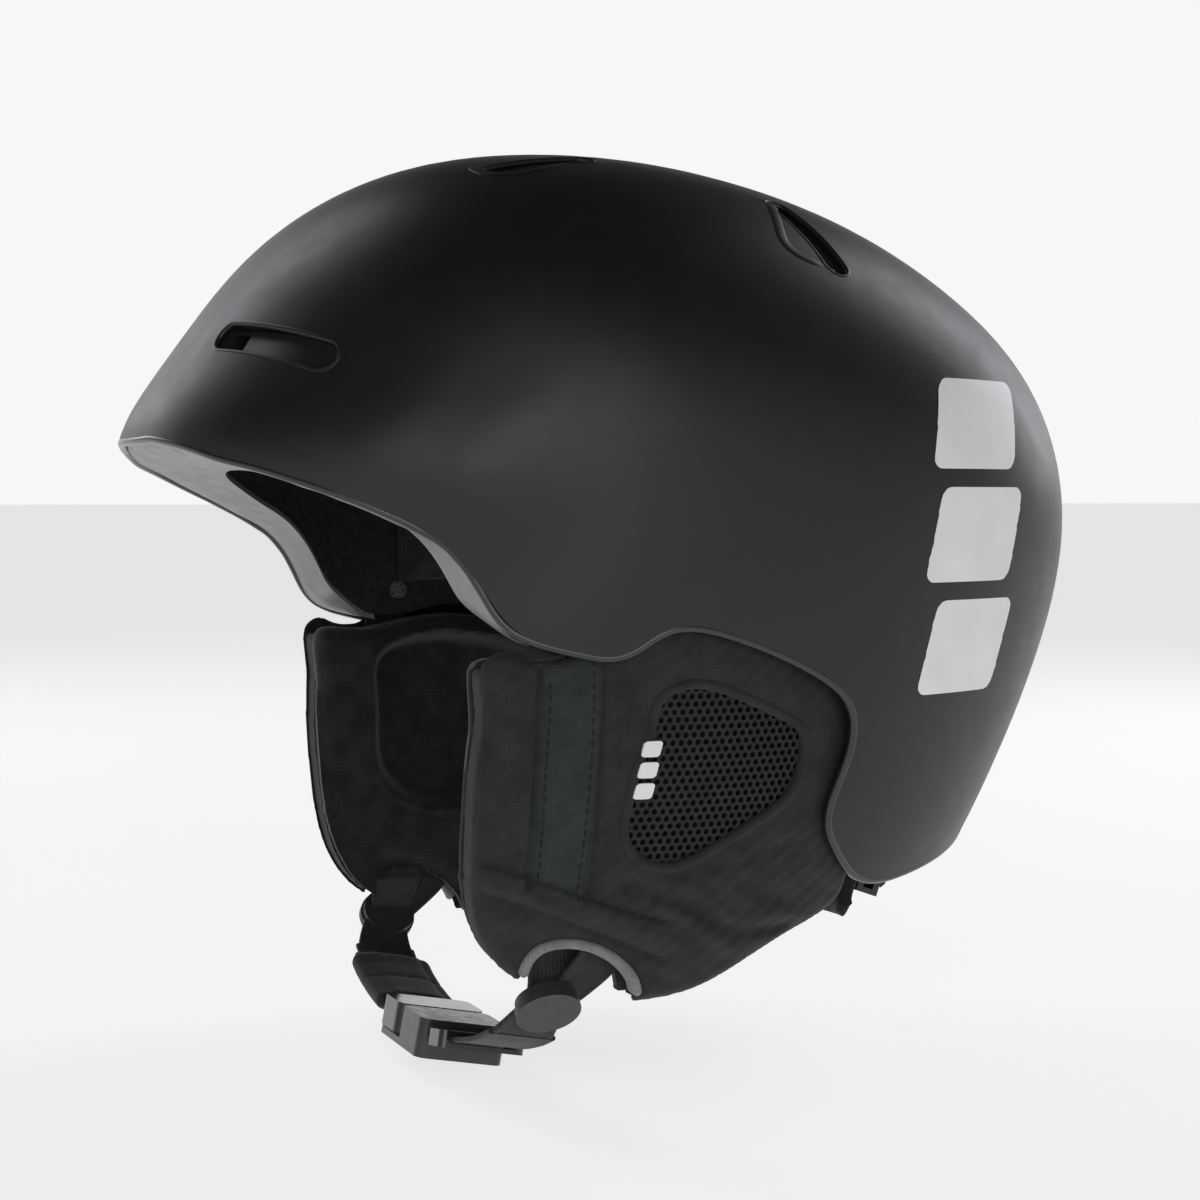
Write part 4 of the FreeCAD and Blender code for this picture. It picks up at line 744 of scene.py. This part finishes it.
for side, flip in (("left", False), ("right", True)):
    for nm, V, F in (("front", V1, F1), ("rear", V2, F2)):
        o = make("webbing_%s_drop_%s" % (nm, side), V, F, M["webbing"], None, "webbing", flip=flip, angle=50)
        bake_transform(o)
    o = make("webbing_turn_" + side, V3, F3, M["webbing"], None, "webbing", flip=flip, angle=50)
    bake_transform(o)
PL = [(64.3, -151.4), (57.0, -154.6), (48.0, -157.4), (38.0, -159.6), (29.0, -161.0), (21.2, -161.9)]
V, F = ribbon([sp(x, 0, z) for x, z in PL], W_, 20, 20)
o = make("webbing_chin_left", V, F, M["webbing"], "strap_lower_left", "webbing", angle=50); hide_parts("chin_webbing_left")
V, F = ribbon([sp(-x if x > 25 else -17.2, 0, z) for x, z in PL], W_, 20, 20)
o = make("webbing_chin_right", V, F, M["webbing"], "strap_lower_right", "webbing", angle=50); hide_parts("chin_webbing_right")
cp = resample(np.array([sp(*q) for q in ((-59.5, 0, -153.7), (-50, 0, -156.9), (-40, 0, -159.3), (-30, 0, -160.9), (-20.0, 0, -162.05))]), 1.0)
n = len(cp); t = np.linspace(0, 1, n); end = np.minimum(t, 1 - t) * n
sc = np.stack([0.86 + 0.14 * smooth(end, 0, 5), 0.45 + 0.55 * smooth(end, 0, 5) - 0.10 * np.exp(-((t - 0.5) * n / 1.2) ** 2)], 1)
prof = [(a, b * (1 - 0.22 * math.exp(-((abs(a) - 9.3) / 0.9) ** 2))) for a, b in ring(13.0, 3.7, 44, 2.9)]
T = np.gradient(cp, axis=0); O = np.cross(T, np.array(W_))
V, F = sweep(cp, O, prof, scale=sc)
o = make("chin_pad_soft", V, F, M["liner_fabric"], "strap_lower_right", "liner_fabric", angle=80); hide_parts("chin_pad")


# ------------------------------------------------------------------ comfort pads, inflated as cloth
def evaluated(ob):
    dg = bpy.context.evaluated_depsgraph_get(); dg.update()
    return bpy.data.meshes.new_from_object(ob.evaluated_get(dg))


def puff(node, name, body, grooves=(), voxel=2.6, cap=2.6, fill=0.6):
    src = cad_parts[node]
    me = src.data.copy(); me.name = name
    bm = bmesh.new(); bm.from_mesh(me); bmesh.ops.remove_doubles(bm, verts=bm.verts, dist=1e-5); bm.to_mesh(me); bm.free()
    ob = bpy.data.objects.new(name, me); bpy.context.scene.collection.objects.link(ob)
    r = ob.modifiers.new("r", "REMESH"); r.mode = "VOXEL"; r.voxel_size = voxel * MM
    m2 = evaluated(ob); ob.modifiers.clear(); ob.data = m2
    k = len(m2.vertices); co = np.zeros(k * 3); m2.vertices.foreach_get("co", co); co = co.reshape(-1, 3)
    no = np.array([v.normal for v in m2.vertices])
    outward = co / np.linalg.norm(co, axis=1)[:, None]
    back = (no * outward).sum(1) > 0.35
    start = co - no * (0.9 * MM); m2.vertices.foreach_set("co", start.ravel()); m2.update()
    c = ob.modifiers.new("c", "CLOTH"); s = c.settings
    s.use_pressure = True; s.uniform_pressure_force = 4.0; s.effector_weights.gravity = 0.0; s.quality = 4
    s.tension_stiffness = s.compression_stiffness = 12; s.bending_stiffness = 0.4
    c.point_cache.frame_start = 1; c.point_cache.frame_end = 20
    for f in range(1, 21):
        bpy.context.scene.frame_set(f)
    m3 = evaluated(ob); ob.modifiers.clear()
    p = np.zeros(k * 3); m3.vertices.foreach_get("co", p); p = p.reshape(-1, 3)
    bpy.context.scene.frame_set(1)
    d = p - start; L = np.linalg.norm(d, axis=1) + 1e-12
    lim = np.where(back, 0.6 * MM, cap * MM)
    p = start + d * np.minimum(1, lim / L)[:, None]
    m2.vertices.foreach_set("co", p.ravel()); m2.update()
    for (ax, val) in grooves:
        dist = (p[:, ax] / MM - val)
        p = p - no * ((1.5 * MM) * np.exp(-(dist / 2.2) ** 2) * (~back))[:, None]
    m2.vertices.foreach_set("co", p.ravel()); m2.update()
    sm = ob.modifiers.new("sm", "SMOOTH"); sm.factor = 0.5; sm.iterations = 3
    sb = ob.modifiers.new("s", "SUBSURF"); sb.levels = sb.render_levels = 1
    m4 = evaluated(ob); ob.modifiers.clear(); ob.data = m4
    m4.polygons.foreach_set("use_smooth", [True] * len(m4.polygons))
    m4.materials.clear(); m4.materials.append(M["liner_fabric"])
    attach(ob, body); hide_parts(node)
    return ob


puff("brow_pad", "brow_pad_soft", "shell", [(0, -33.0), (0, 0.0), (0, 33.0)])
puff("crown_pad", "crown_pad_soft", "shell", [(1, -14.0), (1, 18.0)])
puff("side_pad_left", "side_pad_soft_left", "shell", [(2, 0.0)])
puff("side_pad_right", "side_pad_soft_right", "shell", [(2, 0.0)])
puff("rear_pad", "rear_pad_soft", "shell", [(0, -20.0), (0, 20.0)])
puff("nape_pad", "nape_pad_soft", "fit_cradle", [(0, 0.0)])

# ------------------------------------------------------------------ stage, light and camera
low_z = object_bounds()[0][2] - 0.002
V = []; F = []
for i in range(13):
    for j in range(13):
        V.append(((-6 + i) * 8, (-6 + j) * 8, low_z))
for i in range(12):
    for j in range(12):
        a = i * 13 + j; F.append([a, a + 13, a + 14, a + 1])
fme = bpy.data.meshes.new("floor"); fme.from_pydata(V, [], F)
floor = bpy.data.objects.new("floor", fme); bpy.context.scene.collection.objects.link(floor)
fm = material("floor_pale", (0.50, 0.50, 0.505), (0.53, 0.53, 0.53), 0.95, 0.03, 3, 0.1)
bsdf = [q for q in fm.node_tree.nodes if q.type == "BSDF_PRINCIPLED"][0]
bsdf.inputs["Emission Color"].default_value = (1, 1, 1, 1); bsdf.inputs["Emission Strength"].default_value = 0.72
fme.materials.append(fm)

world = bpy.data.worlds.new("studio"); bpy.context.scene.world = world; world.use_nodes = True
nt = world.node_tree; nt.nodes.clear()
wo_ = nt.nodes.new("ShaderNodeOutputWorld"); bg = nt.nodes.new("ShaderNodeBackground"); tc = nt.nodes.new("ShaderNodeTexCoord")
sx = nt.nodes.new("ShaderNodeSeparateXYZ"); cr = nt.nodes.new("ShaderNodeValToRGB")
nt.links.new(tc.outputs["Generated"], sx.inputs[0]); nt.links.new(sx.outputs["Z"], cr.inputs[0])
cr.color_ramp.elements[0].position = 0.0; cr.color_ramp.elements[0].color = (0.93, 0.93, 0.94, 1)
cr.color_ramp.elements[1].position = 0.66; cr.color_ramp.elements[1].color = (0.03, 0.032, 0.036, 1)
e1 = cr.color_ramp.elements.new(0.24); e1.color = (0.93, 0.93, 0.94, 1)
e2 = cr.color_ramp.elements.new(0.38); e2.color = (0.16, 0.165, 0.18, 1)
nt.links.new(cr.outputs[0], bg.inputs[0])
dt = nt.nodes.new("ShaderNodeVectorMath"); dt.operation = "DOT_PRODUCT"; dt.inputs[1].default_value = (-0.926, 0.377, 0.0)
nt.links.new(tc.outputs["Generated"], dt.inputs[0])
ab = nt.nodes.new("ShaderNodeMath"); ab.operation = "ABSOLUTE"; nt.links.new(dt.outputs["Value"], ab.inputs[0])
mp = nt.nodes.new("ShaderNodeMapRange"); mp.interpolation_type = "SMOOTHSTEP"
mp.inputs["From Min"].default_value = 0.62; mp.inputs["From Max"].default_value = 0.92
mp.inputs["To Min"].default_value = 0.42; mp.inputs["To Max"].default_value = 1.0
nt.links.new(ab.outputs[0], mp.inputs["Value"]); nt.links.new(mp.outputs[0], bg.inputs[1])
nt.links.new(bg.outputs[0], wo_.inputs[0])


def area(name, loc, at, size, power, color=(1, 1, 1)):
    l = bpy.data.lights.new(name, "AREA"); l.energy = power; l.color = color; l.shape = "RECTANGLE"; l.size, l.size_y = size
    o = bpy.data.objects.new(name, l); bpy.context.scene.collection.objects.link(o)
    o.location = loc; o.rotation_euler = (Vector(at) - Vector(loc)).to_track_quat("-Z", "Y").to_euler()
    return o


C = Vector((0.64314, -0.25861, -0.00513)); f = Vector((-0.92516, 0.37687, -0.04521)).normalized()
r = f.cross(Vector((0, 0, 1))).normalized(); u = r.cross(f)
area("key", C + u * 0.35 + r * 0.15 - f * 0.6, (0, 0, 0), (0.9, 0.7), 3.6)
area("rim_left", Vector((0, 0, 0)) + f * 0.9 - r * 1.0 + u * 0.9, (0, 0, 0.03), (0.6, 1.2), 5.0, (0.93, 0.96, 1.0))
area("rim_right", Vector((0, 0, 0)) + f * 0.9 + r * 1.1 + u * 0.7, (0, 0, 0.02), (0.6, 1.2), 7.0, (0.93, 0.96, 1.0))

cam = bpy.data.cameras.new("cam"); cam.sensor_width = 36.0; cam.sensor_fit = "HORIZONTAL"; cam.lens = 68.55; cam.clip_start = 0.01
co_ = bpy.data.objects.new("cam", cam); bpy.context.scene.collection.objects.link(co_)
R = Matrix((r, u, -f)).transposed()
co_.matrix_world = Matrix.Translation(C) @ R.to_4x4()
bpy.context.scene.camera = co_
bpy.context.scene.view_settings.view_transform = "Standard"
